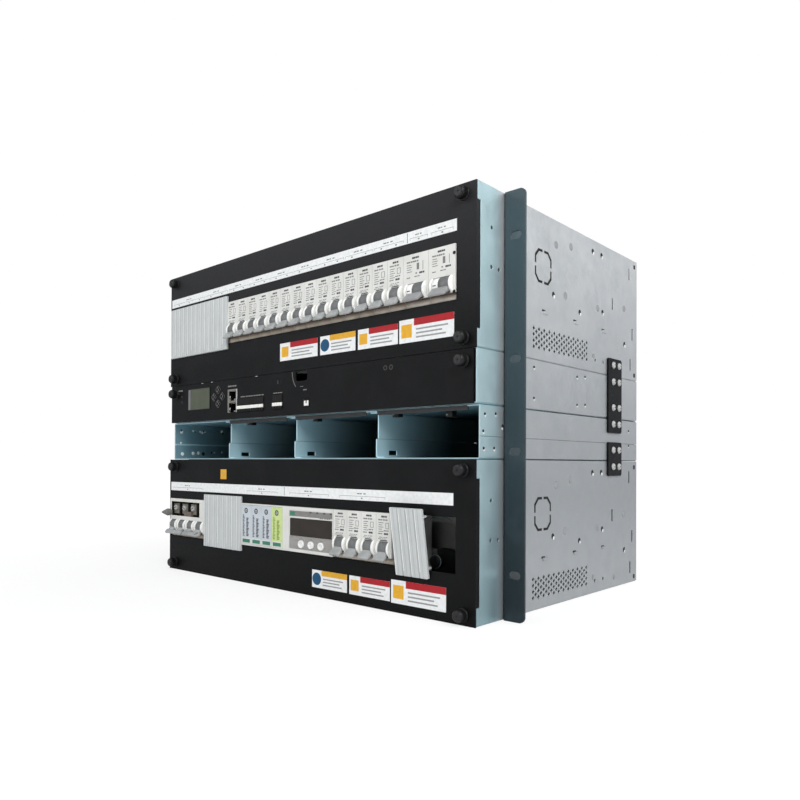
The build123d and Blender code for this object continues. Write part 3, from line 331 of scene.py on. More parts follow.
# The nodes that stay in sight; the others are replaced by pieces made below
NODE_MATERIALS = {
    "lower_chassis": "galvanised", "upper_chassis": "galvanised", "controller_chassis": "galvanised",
    "distribution_covers": "galvanised", "controller_cover": "galvanised",
    "shelf_chassis": "shelf_steel", "shelf_cover": "shelf_steel", "slot_dividers": "galvanised_inner",
    "din_rails": "rail_steel", "lower_front_panel": "black_panel", "upper_front_panel": "black_panel",
    "controller_front_panel": "black_panel", "right_ear": "black_ear", "left_ear": "black_ear",
    "joiner_plates": "black_panel", "arrester_base": "white_plastic", "meter_display": "meter_glass",
    "controller_display": "display_glass", "controller_board": "circuit_board",
}


def dress_nodes():
    """Gives every CAD node its material."""
    for name, item in nodes.items():
        item.data.materials.clear()
        item.data.materials.append(MATERIALS[NODE_MATERIALS.get(name, "black_plastic")])


dress_nodes()


# Mesh helpers: shapes are built in millimetres in the part's frame

class Build:
    """Collects closed shapes, each with a material, into one piece."""

    def __init__(self, *materials):
        self.mesh = bmesh.new()
        self.materials = materials

    def slot(self, name):
        return self.materials.index(name)

    def faces(self, points, faces, name, smooth=False):
        verts = [self.mesh.verts.new(Vector(p) * MM) for p in points]
        for face in faces:
            item = self.mesh.faces.new([verts[i] for i in face])
            item.material_index = self.slot(name)
            item.smooth = smooth
        return verts

    def box(self, name, x0, x1, y0, y1, z0, z1):
        points = [(x, y, z) for x in (x0, x1) for y in (y0, y1) for z in (z0, z1)]
        sides = [(0, 1, 3, 2), (4, 6, 7, 5), (0, 4, 5, 1), (2, 3, 7, 6), (0, 2, 6, 4), (1, 5, 7, 3)]
        self.faces(points, sides, name)

    def loft(self, name, rings, smooth=True):
        """Skin through closed rings of equally many points."""
        count = len(rings[0])
        points = [p for ring in rings for p in ring]
        skin = []
        for a in range(len(rings) - 1):
            for i in range(count):
                j = (i + 1) % count
                skin.append((a * count + i, a * count + j, (a + 1) * count + j, (a + 1) * count + i))
        verts = self.faces(points, skin, name, smooth)
        for ring, order in ((0, -1), (len(rings) - 1, 1)):
            loop = [verts[ring * count + i] for i in range(count)][::order]
            cap = self.mesh.faces.new(loop)
            cap.material_index = self.slot(name)

    def turned(self, name, centre, axis, profile, steps=32, smooth=True):
        """Closed turned shape: profile is a list of (distance along the axis, radius)."""
        along = Vector(axis)
        side = along.orthogonal().normalized()
        other = along.cross(side)
        rings = []
        for distance, radius in profile:
            ring = []
            for i in range(steps):
                angle = 2 * math.pi * i / steps
                offset = (side * math.cos(angle) + other * math.sin(angle)) * radius
                ring.append(Vector(centre) + along * distance + offset)
            rings.append(ring)
        self.loft(name, rings, smooth)

    def prism(self, name, outline, start, end):
        """Closed outline of (y, z) points extruded along X."""
        self.loft(name, [[(x, y, z) for y, z in outline] for x in (start, end)], smooth=False)

    def copy_at(self, other, offsets):
        """Adds another piece's faces at several places."""
        other.verts.index_update()
        for offset in offsets:
            new = [self.mesh.verts.new(v.co + Vector(offset) * MM) for v in other.verts]
            for face in other.faces:
                item = self.mesh.faces.new([new[v.index] for v in face.verts])
                item.material_index = face.material_index
                item.smooth = face.smooth

    def done(self, name, body="shelf", bevel=0.0, replaced=()):
        """Turns the shapes into one piece that rides on a body."""
        bmesh.ops.recalc_face_normals(self.mesh, faces=self.mesh.faces)
        data = bpy.data.meshes.new(name)
        self.mesh.to_mesh(data)
        self.mesh.free()
        for material in self.materials:
            data.materials.append(MATERIALS[material])
        item = bpy.data.objects.new(name, data)
        bpy.context.scene.collection.objects.link(item)
        if bevel:
            rounding = item.modifiers.new("rounding", "BEVEL")
            rounding.width = bevel * MM
            rounding.segments = 2
            rounding.limit_method = "ANGLE"
            rounding.angle_limit = math.radians(BEVEL_ANGLE)
        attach(item, body)
        if replaced:
            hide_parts(*replaced)


def cut_mesh(body, tools):
    """A mesh with several others cut out of it, for reuse."""
    items = []
    for index, source in enumerate([body, *tools]):
        bmesh.ops.recalc_face_normals(source, faces=source.faces)
        data = bpy.data.meshes.new(f"cut_{index}")
        source.to_mesh(data)
        item = bpy.data.objects.new(f"cut_{index}", data)
        bpy.context.scene.collection.objects.link(item)
        items.append(item)
    for tool in items[1:]:
        cutter = items[0].modifiers.new("cut", "BOOLEAN")
        cutter.object = tool
        cutter.operation = "DIFFERENCE"
        cutter.solver = "EXACT"
    bpy.context.view_layer.update()
    graph = bpy.context.evaluated_depsgraph_get()
    result = bmesh.new()
    result.from_mesh(items[0].evaluated_get(graph).to_mesh())
    for item in items:
        data = item.data
        bpy.data.objects.remove(item)
        bpy.data.meshes.remove(data)
    return result


def rounded_rectangle(width, height, radius, steps=4):
    """Outline about zero with round corners."""
    points = []
    for cx, cy, first in ((1, 1, 0), (-1, 1, 90), (-1, -1, 180), (1, -1, 270)):
        for step in range(steps + 1):
            angle = math.radians(first + 90 * step / steps)
            points.append((cx * (width / 2 - radius) + radius * math.cos(angle),
                           cy * (height / 2 - radius) + radius * math.sin(angle)))
    return points


def row(left, pitch, count):
    """Middles of a row of equal pieces."""
    return [left + (index + 0.5) * pitch for index in range(count)]


# Breakers, in the part's own sizes

FACE_Y = -41.5
PIVOT_Y = -37.5
PIVOT_DROP = 9.2
RAIL_Y = 16.5
NOSE = 22.5
SHOULDER_Y = FACE_Y + 16
BODY = 42.5
LEDGE_Z = -17.0
LEDGE_SETBACK = 3.0
BARREL_RADIUS = 7.3
BARREL_WIDTH = 9.4
BARREL_GAP = 0.3
WIDE_BARREL_WIDTH = 16.4
CHEEK_RADIUS = 7.8
CHEEK_WIDTH = 2.2
REST_TILT = 38.0
WINDOW_DROP = 3.1
UNIT_HEIGHT = 132.95
LOWER_MIDDLE = UNIT_HEIGHT / 2 - WINDOW_DROP
UPPER_MIDDLE = UPPER_Z + LOWER_MIDDLE
BRANCHES = row(-104, 18, 14)
WIDES = row(148, 27, 2)
OUTLETS = row(64, 18, 4)
INPUT_LEFT, INPUT_WIDTH = -218, 72
POCKET = (-32.9, 32.9, FACE_Y - 1, FACE_Y + 9, 1.9, 18.9)
CARTRIDGES = row(-76, 16.8, 4)
METER_MIDDLE, METER_HALF = 30.5, 33.4
PRINT_GAP = 0.03
HOUSING = ("white_plastic", "ledge_plastic", "slot_dark", "cheek_white", "dark_print", "soft_print")


def print_bars(build, name, x, z, y, bars):
    """Flat printed bars: (left, right, bottom, top) about a place on a face that looks forward."""
    for x0, x1, z0, z1 in bars:
        points = [(x + x0, y, z + z0), (x + x1, y, z + z0), (x + x1, y, z + z1), (x + x0, y, z + z1)]
        build.faces(points, [(0, 1, 2, 3)], name)


def print_band(build, name, outer, inner):
    """Flat band between two closed rings of equally many points."""
    count = len(outer)
    quads = [(i, (i + 1) % count, count + (i + 1) % count, count + i) for i in range(count)]
    build.faces(outer + inner, quads, name)


def middle_of(node):
    """Middle of a node's box as seen from the front, in millimetres."""
    node_low, node_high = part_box(node)
    return (node_low[0] + node_high[0]) / 2 / MM, (node_low[2] + node_high[2]) / 2 / MM


def print_disc(build, name, x, z, y, radius, inner=0.0, steps=28):
    """Flat printed disc or ring on a face that looks forward."""
    angles = [2 * math.pi * i / steps for i in range(steps)]
    outer = [(x + radius * math.cos(a), y, z + radius * math.sin(a)) for a in angles]
    if not inner:
        build.faces(outer, [tuple(range(steps))], name)
        return
    rim = [(x + inner * math.cos(a), y, z + inner * math.sin(a)) for a in angles]
    print_band(build, name, outer, rim)


def broken_line(left, right, bottom, top, parts, gap=0.16):
    """A printed line broken into short dashes of uneven length."""
    step = (right - left) / parts
    bars = []
    for part in range(parts):
        share = 1 - gap * (1 + (part * 5 % 3))
        bars.append((left + part * step, left + (part + share) * step, bottom, top))
    return bars


def breaker_print(half):
    """Strong and soft printed bars of a single-pole breaker's face, about its own middle."""
    strong = broken_line(-0.34 * half, 0.42 * half, 18.4, 20.0, 3, 0.06)
    strong += broken_line(0.02 * half, 0.62 * half, 3.2, 4.9, 2, 0.08)
    strong.append((-0.48 * half, 0.42 * half, -2.3, -1.3))
    soft = broken_line(-0.72 * half, 0.50 * half, 15.7, 16.9, 4, 0.1)
    for step in range(5):
        z = 14.0 - step * 1.9
        soft.append((-0.70 * half, (-0.22 if step % 2 else -0.06) * half, z - 0.6, z))
    soft += [(0.22 * half, 0.66 * half, 13.4, 13.8), (0.22 * half, 0.66 * half, 8.6, 9.0),
             (0.22 * half, 0.28 * half, 9.0, 13.4), (0.60 * half, 0.66 * half, 9.0, 13.4)]
    soft += broken_line(-0.74 * half, -0.12 * half, 3.6, 4.5, 2, 0.1)
    soft += broken_line(-0.60 * half, 0.50 * half, 0.6, 1.3, 4, 0.15)
    soft += broken_line(0.00 * half, 0.66 * half, 6.3, 7.3, 3, 0.1)
    soft += broken_line(-0.74 * half, 0.30 * half, -0.7, -0.1, 4, 0.12)
    return strong, soft


def wide_print(half):
    """Strong and soft printed bars of a wide breaker's face, about its own middle."""
    strong = broken_line(-0.30 * half, 0.26 * half, 18.2, 19.8, 4, 0.05)
    strong += broken_line(0.28 * half, 0.70 * half, 4.6, 6.2, 3, 0.06)
    soft = broken_line(-0.72 * half, 0.24 * half, 15.2, 16.5, 6, 0.08)
    for step in range(4):
        z = 13.6 - step * 1.9
        soft.append((-0.72 * half, (-0.30 if step % 2 else -0.36) * half, z - 0.6, z))
    soft += [(0.08 * half, 0.27 * half, 8.4, 14.0), (0.55 * half, 0.59 * half, 7.6, 15.2)]
    soft += broken_line(-0.72 * half, -0.40 * half, 2.2, 3.1, 2, 0.1)
    soft += broken_line(-0.10 * half, 0.34 * half, 2.4, 3.3, 3, 0.1)
    soft += broken_line(-0.02 * half, 0.12 * half, 5.0, 6.2, 1, 0.1)
    return strong, soft


def breaker_body(half, barrels, barrel_width, pocket=None):
    """One breaker housing about its own middle, with its bores cut out; faces inside the bores and the pocket
    get painted shade.
    """
    outline = [
        (FACE_Y, NOSE), (SHOULDER_Y, NOSE), (SHOULDER_Y, BODY), (RAIL_Y, BODY), (RAIL_Y, -BODY),
        (SHOULDER_Y, -BODY), (SHOULDER_Y, -NOSE), (FACE_Y + LEDGE_SETBACK, -NOSE),
        (FACE_Y + LEDGE_SETBACK, LEDGE_Z), (FACE_Y, LEDGE_Z)]
    body = Build(*HOUSING)
    body.prism("white_plastic", outline, -half, half)
    reach = barrel_width / 2 + BARREL_GAP
    bore = BARREL_RADIUS + BARREL_GAP
    tools = []
    for x in barrels:
        tool = Build(*HOUSING)
        tool.turned("slot_dark", (x, PIVOT_Y, -PIVOT_DROP), (1, 0, 0), [(-reach, bore), (reach, bore)], 48)
        tools.append(tool.mesh)
        slot = Build(*HOUSING)
        slot.box("slot_dark", x - reach, x + reach, FACE_Y - 1, PIVOT_Y, -PIVOT_DROP - bore, -PIVOT_DROP)
        tools.append(slot.mesh)
    if pocket:
        tool = Build(*HOUSING)
        tool.box("slot_dark", *pocket)
        tools.append(tool.mesh)
    result = cut_mesh(body.mesh, tools)
    for face in result.faces:
        middle = face.calc_center_median() / MM
        from_pivot = math.hypot(middle.y - PIVOT_Y, middle.z + PIVOT_DROP)
        in_pocket = pocket and pocket[4] - 0.1 < middle.z < pocket[5] + 0.1 and middle.y < pocket[3] + 0.1
        inside = abs(middle.x) < half - 0.1 and middle.y > FACE_Y + 0.1
        # Faces inside the bores and the pocket: near-black painted shade.
        if inside and middle.z > LEDGE_Z - 0.5 and (from_pivot < bore + 0.2 or in_pocket):
            face.material_index = 2
        elif middle.z < LEDGE_Z + 0.1 and middle.y < SHOULDER_Y:
            face.material_index = 1
    return result


def cheek_shapes(build, x, z, barrel_width):
    """White crescents beside a toggle."""
    for side in (-1, 1):
        near = side * (barrel_width / 2 + BARREL_GAP)
        far = near + side * CHEEK_WIDTH
        steps = [(near, CHEEK_RADIUS - 0.5), (near + side * 0.4, CHEEK_RADIUS),
                 (far - side * 0.5, CHEEK_RADIUS), (far, CHEEK_RADIUS - 0.6)]
        build.turned("cheek_white", (x, PIVOT_Y, z - PIVOT_DROP), (1, 0, 0), steps, 56)


def make_housings(name, places, half, barrel_width, prints, replaced):
    """A row of single-pole breaker housings."""
    one = breaker_body(half, [0.0], barrel_width)
    build = Build(*HOUSING)
    build.copy_at(one, [(x, 0, z) for x, z in places])
    strong, soft = prints
    for x, z in places:
        cheek_shapes(build, x, z, barrel_width)
        print_bars(build, "dark_print", x, z, FACE_Y - PRINT_GAP, strong)
        print_bars(build, "soft_print", x, z, FACE_Y - PRINT_GAP, soft)
    build.done(name, bevel=0.3, replaced=[replaced])


def make_end_notches():
    """Flat dark discs of painted shade for the notches at the right end of the upper row."""
    build = Build("slot_dark")
    for z in (15.0, -16.6):
        print_disc(build, "slot_dark", WIDES[-1] + 12.4, UPPER_MIDDLE + z, FACE_Y - 2 * PRINT_GAP, 1.5)
    build.done("end_notches")


def make_input_block():
    """Block of the input breakers: terminal pocket, clamps with screws, and a pointed cable lug."""
    barrels = row(-INPUT_WIDTH / 2, 18, 4)
    middle = INPUT_LEFT + INPUT_WIDTH / 2
    one = breaker_body(INPUT_WIDTH / 2 - 0.1, barrels, BARREL_WIDTH, POCKET)
    build = Build(*HOUSING, "pocket_brown", "screw_dull", "brown_plastic", "lug_metal", "white_plastic")
    build.copy_at(one, [(middle, 0, LOWER_MIDDLE)])
    build.box("pocket_brown", middle - 34.5, middle + 34.5, FACE_Y + 8.6, FACE_Y + 8.95,
              LOWER_MIDDLE + 1.5, LOWER_MIDDLE + 20.0)
    build.box("white_plastic", middle + 25.5, middle + 35.5, FACE_Y + 0.3, FACE_Y + 8.9,
              LOWER_MIDDLE + 0.6, LOWER_MIDDLE + 20.6)
    for x in barrels:
        cheek_shapes(build, middle + x, LOWER_MIDDLE, BARREL_WIDTH)
    for index, x in enumerate(barrels):
        left, base = middle + x, LOWER_MIDDLE
        build.box("pocket_brown", left - 5.6, left + 5.6, FACE_Y + 3.5, FACE_Y + 8.9, base + 4.2, base + 16.4)
        build.turned("screw_dull", (left, FACE_Y + 3.5, base + 11.4), (0, -1, 0),
                     [(0, 3.3), (1.4, 3.3), (2.2, 2.9), (2.6, 2.0)], 28)
        lean = 0.9 if index % 2 else -0.9
        points = [(left + side * 3, FACE_Y + 0.86, base + height - side * lean)
                  for side, height in ((-1, 11.0), (-1, 11.8), (1, 11.8), (1, 11.0))]
        build.faces(points, [(0, 1, 2, 3)], "slot_dark")
        # Dark strip in the gap between clamps: painted shade.
        build.box("slot_dark", left + 8.2, left + 9.8, FACE_Y + 2.0, FACE_Y + 8.9, base + 2.0, base + 18.8)
    build.box("brown_plastic", middle - 8, middle + 7, FACE_Y + 1.2, FACE_Y + 8.9,
              LOWER_MIDDLE + 2, LOWER_MIDDLE + 7.4)
    build.turned("lug_metal", (middle - 34.5, FACE_Y + 2, LOWER_MIDDLE + 5.4), (-0.55, -0.84, 0),
                 [(0, 3.6), (5.0, 4.4), (6.4, 4.2), (10.6, 1.9), (12.6, 0.8)], 12, smooth=False)
    build.done("input_breakers_look", bevel=0.25, replaced=["input_breaker_housings"])


def paddle_rings(barrel_width, tip_width):
    """Cross-sections of a paddle along its own length, from the barrel to its tip."""
    root = barrel_width / 2
    tip = tip_width / 2
    stations = [(3.5, root, 4.8), (7.6, root, 4.5), (9.0, root * 0.45 + tip * 0.52, 4.0),
                (10.4, tip * 0.97, 3.6), (12.6, tip, 3.2), (14.6, tip, 2.8),
                (15.5, tip - 0.4, 2.1), (15.8, tip - 1.0, 1.2)]
    rings = []
    for distance, half, thickness in stations:
        outline = rounded_rectangle(2 * half, thickness, min(thickness * 0.42, 1.2), 3)
        rings.append([(u, -distance, v) for u, v in outline])
    return rings


def barrel_shape(build, name, x0, x1):
    """Part of a toggle's barrel between two places along its axis."""
    build.turned(name, (0, 0, 0), (1, 0, 0), [
        (x0, BARREL_RADIUS - 0.5), (x0 + 0.4, BARREL_RADIUS), (x1 - 0.4, BARREL_RADIUS),
        (x1, BARREL_RADIUS - 0.5)], 56)


def barrel_mark(build, x0, x1, low, high):
    """Printed mark round a barrel between two angles above its paddle."""
    points = []
    for x, degrees in ((x0, low), (x1, low), (x1, high), (x0, high)):
        angle = math.radians(degrees)
        reach = BARREL_RADIUS + PRINT_GAP
        points.append((x, -reach * math.cos(angle), reach * math.sin(angle)))
    build.faces(points, [(0, 1, 2, 3)], "dark_print")


def finish_toggle(build, node, pivot):
    """Turns a toggle down to its off position and puts it on its pivot."""
    tilt = Matrix.Rotation(math.radians(REST_TILT), 4, "X")
    move = Matrix.Translation(Vector(pivot) * MM)
    bmesh.ops.transform(build.mesh, matrix=move @ tilt, verts=build.mesh.verts)
    build.done(node + "_look", node, replaced=[node])


def make_single_toggle(node, pivot):
    build = Build("toggle_plastic", "toggle_barrel_shade")
    # The barrel takes the darker toggle colour of painted shade.
    barrel_shape(build, "toggle_barrel_shade", -BARREL_WIDTH / 2, BARREL_WIDTH / 2)
    build.loft("toggle_plastic", paddle_rings(BARREL_WIDTH, 13.0))
    finish_toggle(build, node, pivot)


def make_wide_toggle(node, pivot):
    """Toggle with a white block that carries the position mark."""
    build = Build("wide_paddle", "toggle_barrel_shade", "cheek_white", "dark_print")
    half = WIDE_BARREL_WIDTH / 2
    barrel_shape(build, "cheek_white", -half, -half + 6.2)
    # The barrel takes the darker toggle colour of painted shade.
    barrel_shape(build, "toggle_barrel_shade", -half + 6.2, half)
    barrel_mark(build, -half + 1.2, -half + 4.6, 31, 38)
    build.loft("wide_paddle", paddle_rings(WIDE_BARREL_WIDTH, 17.0))
    finish_toggle(build, node, pivot)


def make_input_handle(node, pivot, slotted):
    """Two barrels tied by one paddle; one of the handles has a slanted slot."""
    build = Build("toggle_plastic", "toggle_barrel_shade", "slot_dark")
    for x in (-9.0, 9.0):
        # The barrels take the darker toggle colour of painted shade.
        build.turned("toggle_barrel_shade", (x, 0, 0), (1, 0, 0), [
            (-4.7, BARREL_RADIUS - 0.5), (-4.3, BARREL_RADIUS),
            (4.3, BARREL_RADIUS), (4.7, BARREL_RADIUS - 0.5)], 56)
        rings = [[(x + u, -d, v) for u, v in rounded_rectangle(BARREL_WIDTH, t, 1.0, 3)]
                 for d, t in ((3.5, 4.8), (11.2, 3.7))]
        build.loft("toggle_plastic", rings)
    rings = []
    for d, w, t in ((10.5, 15.9, 2.6), (11.2, 16.5, 3.5), (13.2, 16.5, 3.2), (14.8, 16.5, 2.7),
                    (15.5, 16.1, 2.1), (15.8, 15.5, 1.2)):
        rings.append([(u, -d, v) for u, v in rounded_rectangle(2 * w, t, min(t * 0.42, 1.2), 3)])
    build.loft("toggle_plastic", rings)
    if slotted:
        points = [(9.6, -14.6, 1.5), (11.2, -14.9, 1.45), (15.0, -11.6, 1.85), (13.8, -11.2, 1.9)]
        build.faces(points, [(0, 1, 2, 3)], "slot_dark")
    finish_toggle(build, node, pivot)


def make_all_toggles():
    """Every toggle and handle, on the pivots of the record's joints."""
    for joint in frame["joints"]:
        if joint["type"] != "hinge":
            continue
        node = joint["child"]
        pivot = [value / MM for value in joint["pos_m"]]
        if node.startswith("input"):
            make_input_handle(node, pivot, slotted=node.endswith("02"))
        elif node.startswith("wide"):
            make_wide_toggle(node, pivot)
        else:
            make_single_toggle(node, pivot)


# Surge arrester and meter

def cartridge_print(build, x, z, y, ink):
    """Disc, columns of small marks and a line, as on a cartridge's label."""
    print_disc(build, "dark_print", x - 0.2, z + 14.8, y, 2.9)
    print_disc(build, "white_plastic", x - 0.2, z + 14.8, y - PRINT_GAP, 1.5, 0.9, 20)
    for step in range(15):
        low = 9.2 - step * 1.55
        wide = 1.2 + (step * 7 % 5) * 0.35
        print_bars(build, ink, x, z, y, [(-5.8, -5.0 + wide, low, low + 1.0)])
        if step > 1:
            print_bars(build, ink, x, z, y, [(0.2, 3.0 + (step * 3 % 4) * 0.5, low, low + 1.15)])


def make_cartridges():
    """Four plug-in cartridges: printed label, and a green window in a white field."""
    inks = ("dark_print", "dark_print", "dark_print", "lime_print")
    for index, x in enumerate(CARTRIDGES):
        last = index == len(CARTRIDGES) - 1
        body = "lime_plastic" if last else "pale_plastic"
        build = Build(body, "white_plastic", "dark_print", "lime_print", "green_window")
        front = FACE_Y - 0.5
        build.box(body, x - 8.3, x + 8.3, front + 0.1, FACE_Y + 30, LOWER_MIDDLE - 20.7, LOWER_MIDDLE + 20.7)
        build.box("white_plastic", x - 7.9, x + 7.9, front, front + 2,
                  LOWER_MIDDLE - 20.5, LOWER_MIDDLE - 14.4)
        y = front - PRINT_GAP
        print_bars(build, "green_window", x, LOWER_MIDDLE, y, [(-6.0, 6.6, -19.4, -15.6)])
        cartridge_print(build, x, LOWER_MIDDLE, front + 0.1 - PRINT_GAP, inks[index])
        build.done(f"cartridge_look_{index + 1}", bevel=0.3, replaced=["arrester_cartridges"] if last else [])


def make_meter():
    """Meter: white rim, grey face with a top band and marks, recesses for the screen and buttons."""
    outline = [(FACE_Y, NOSE), (SHOULDER_Y, NOSE), (SHOULDER_Y, BODY), (RAIL_Y, BODY)]
    outline += [(y, -z) for y, z in reversed(outline)]
    materials = ("white_plastic", "meter_grey", "meter_band", "green_window", "dark_print", "soft_print")
    body = Build(*materials)
    body.prism("white_plastic", outline, -METER_HALF, METER_HALF)
    recess = Build(*materials)
    recess.box("white_plastic", 2.3 - 29.7, 2.3 + 29.7, FACE_Y - 1, FACE_Y + 3, 2.4 - 8.8, 2.4 + 8.8)
    tools = [recess.mesh]
    for x in (-11.0, 3.0, 17.0):
        tool = Build(*materials)
        tool.turned("white_plastic", (x, FACE_Y - 1, -14.1), (0, 1, 0), [(0, 4.25), (7, 4.25)], 40)
        tools.append(tool.mesh)
    build = Build(*materials)
    build.copy_at(cut_mesh(body.mesh, tools), [(METER_MIDDLE, 0, LOWER_MIDDLE)])
    y = FACE_Y - PRINT_GAP
    print_bars(build, "meter_band", METER_MIDDLE, LOWER_MIDDLE, y, [(-28.6, 32.6, 13.0, 18.4)])
    print_bars(build, "meter_grey", METER_MIDDLE, LOWER_MIDDLE, y, [
        (-28.6, 32.6, -9.6, -6.6), (-28.6, 32.6, -19.4, -18.6), (-28.6, -15.4, -18.6, -9.6),
        (-6.6, -1.4, -18.6, -9.6), (7.4, 12.6, -18.6, -9.6), (21.4, 32.6, -18.6, -9.6)])
    marks = y - PRINT_GAP
    print_bars(build, "green_window", METER_MIDDLE, LOWER_MIDDLE, marks, [(-27.6, -20.4, 13.8, 17.6)])
    for x in (1.0, 10.5, 20.0, 29.0):
        print_bars(build, "dark_print", METER_MIDDLE, LOWER_MIDDLE, marks, [(x, x + 2.6, 17.0, 18.5)])
    print_bars(build, "soft_print", METER_MIDDLE, LOWER_MIDDLE, marks, broken_line(15, 31, 12.2, 13.2, 5))
    for x in (-11.0, 3.0, 17.0):
        print_disc(build, "meter_grey", METER_MIDDLE + x, LOWER_MIDDLE - 14.1, y - 0.01, 5.9, 4.3, 36)
        print_bars(build, "soft_print", METER_MIDDLE + x, LOWER_MIDDLE, marks, [(-1.6, 1.4, -9.2, -8.6)])
    rims = [(-33.4, -29.2, -22.4, 22.4), (-29.2, 33.4, 19.0, 22.4),
            (-29.2, 33.4, -22.4, -19.4), (32.8, 33.4, -19.4, 19.0)]
    for x0, x1, z0, z1 in rims:
        build.box("white_plastic", METER_MIDDLE + x0, METER_MIDDLE + x1, FACE_Y - 0.5, FACE_Y + 1,
                  LOWER_MIDDLE + z0, LOWER_MIDDLE + z1)
    build.done("meter_look", bevel=0.25, replaced=["meter_housing"])


def make_meter_buttons():
    """Round white buttons with a dished face."""
    for index in range(3):
        node = f"meter_button_{index + 1}"
        x, z = middle_of(node)
        build = Build("button_white")
        build.turned("button_white", (x, FACE_Y, z), (0, -1, 0), [
            (-4.3, 3.9), (0.9, 3.9), (1.35, 3.7), (1.6, 3.2), (1.6, 2.5), (1.25, 2.2), (1.15, 0.4)], 40)
        build.done(node + "_look", node, replaced=[node])


# Controller

PANEL_PRINT_Y = PANEL_Y - 0.04
DIRECTIONS = ("left", "right", "up", "down")


# Left, right, bottom, top and number of dashes
PRINTED_LINES = (
    (-210.5, -194.5, 37.2, 39.0, 4), (-208.5, -201.5, 34.4, 35.4, 2), (-104, -88.5, 35.8, 37.4, 4),
    (-81, -41, 23.0, 24.2, 9), (-26, -12, 23.4, 24.4, 4), (19.6, 25.4, 23.8, 24.8, 2),
    (15.4, 20.2, 27.6, 28.2, 2))


def make_controller_print():
    """Small printed lines, lamps, an engraved curve and screw holes of the controller's panel; painted shade
    in the holes, a slot and behind a notch, and painted highlights on the hole rims, beside the slot and on
    the top edge.
    """
    build = Build("soft_print", "dim_lamp", "dim_rim", "slot_dark", "edge_glint")
    z = CONTROLLER_Z
    for left, right, bottom, top, parts in PRINTED_LINES:
        dashes = broken_line(left, right, bottom, top, parts, 0.08)
        print_bars(build, "soft_print", 0, z, PANEL_PRINT_Y, dashes)
    for lamp in (31.0, 24.1):
        print_disc(build, "dim_lamp", -196.3, z + lamp, PANEL_PRINT_Y, 1.4)
    # Screw holes: dark discs of painted shade, with a faint painted highlight round the rim.
    for hole in (126.7, 133.3):
        print_disc(build, "slot_dark", hole, z + 36.3, PANEL_PRINT_Y, 1.7)
        print_disc(build, "dim_rim", hole, z + 36.3, PANEL_PRINT_Y - 0.02, 2.2, 1.7)
    # A slot in painted shade, with a painted highlight along its left edge.
    print_bars(build, "slot_dark", -14, z + 35.0, PANEL_PRINT_Y, [(-1.0, 1.0, -1.7, 1.7)])
    print_bars(build, "soft_print", -14, z + 35.0, PANEL_PRINT_Y, [(-5.0, -4.6, -2.0, 2.0)])
    curve = []
    for step in range(15):
        share = step / 14
        curve.append((2.9 + 0.4 * share + 5.0 * share ** 2.2, 43.4 - 15.4 * share))
    for (x0, z0), (x1, z1) in zip(curve, curve[1:]):
        points = [(x0, PANEL_PRINT_Y, z + z0), (x0 + 0.7, PANEL_PRINT_Y, z + z0 + 0.2),
                  (x1 + 0.7, PANEL_PRINT_Y, z + z1 + 0.2), (x1, PANEL_PRINT_Y, z + z1)]
        build.faces(points, [(0, 1, 2, 3)], "soft_print")
    for direction in DIRECTIONS:
        x, height = middle_of(f"controller_button_{direction}")
        outer, inner = (diamond(x, height, PANEL_PRINT_Y, reach) for reach in (7.0, 6.3))
        print_band(build, "soft_print", outer, inner)
    # Dark sheet behind the notch in the top edge: painted shade.
    build.box("slot_dark", 8, 33, PANEL_Y + 1.6, PANEL_Y + 1.9, z + 41.5, z + 44.0)
    # Painted glints on the top edge.
    for x in (-153.5, -134.6, -53.8):
        build.box("edge_glint", x - 1.6, x + 1.6, PANEL_Y - 0.2, PANEL_Y + 1.2, z + 43.7, z + 44.25)
    build.done("controller_print")


def make_display_rim():
    """Paler strip down the left of the controller's display, and its thin frame."""
    build = Build("display_rim", "black_plastic")
    y = PANEL_Y + 0.2 - PRINT_GAP
    print_bars(build, "display_rim", 0, CONTROLLER_Z, y, [(-182.9, -178.6, 14.2, 38.2)])
    rims = ((-184.0, -183.1, 13.2, 39.2), (-138.9, -138.0, 13.2, 39.2),
            (-183.1, -138.9, 38.4, 39.2), (-183.1, -138.9, 13.2, 14.0))
    for x0, x1, z0, z1 in rims:
        build.box("black_plastic", x0, x1, PANEL_Y - 0.5, PANEL_Y - 0.01,
                  CONTROLLER_Z + z0, CONTROLLER_Z + z1)
    build.done("display_rim", bevel=0.15)


def diamond(x, z, y, reach):
    """Square turned on its corner, with round corners."""
    turn = math.radians(45)
    points = rounded_rectangle(reach, reach, 1.2, 3)
    return [(x + u * math.cos(turn) - v * math.sin(turn), y, z + u * math.sin(turn) + v * math.cos(turn))
            for u, v in points]


def make_controller_buttons():
    """Four direction buttons with a light edge."""
    for direction in DIRECTIONS:
        node = f"controller_button_{direction}"
        x, z = middle_of(node)
        build = Build("black_plastic", "soft_print")
        rings = [(PANEL_Y + 2.8, 4.9), (PANEL_Y - 0.7, 4.9), (PANEL_Y - 1.1, 4.5), (PANEL_Y - 1.2, 3.9)]
        build.loft("black_plastic", [diamond(x, z, y, reach) for y, reach in rings], smooth=False)
        back = [(PANEL_Y + 1.76, 6.9), (PANEL_Y + 2.9, 6.9)]
        build.loft("black_plastic", [diamond(x, z, y, reach) for y, reach in back], smooth=False)
        outer, inner = (diamond(x, z, PANEL_Y - rise, reach) for rise, reach in ((1.14, 4.8), (1.23, 3.9)))
        print_band(build, "soft_print", outer, inner)
        build.done(node + "_look", node, replaced=[node])


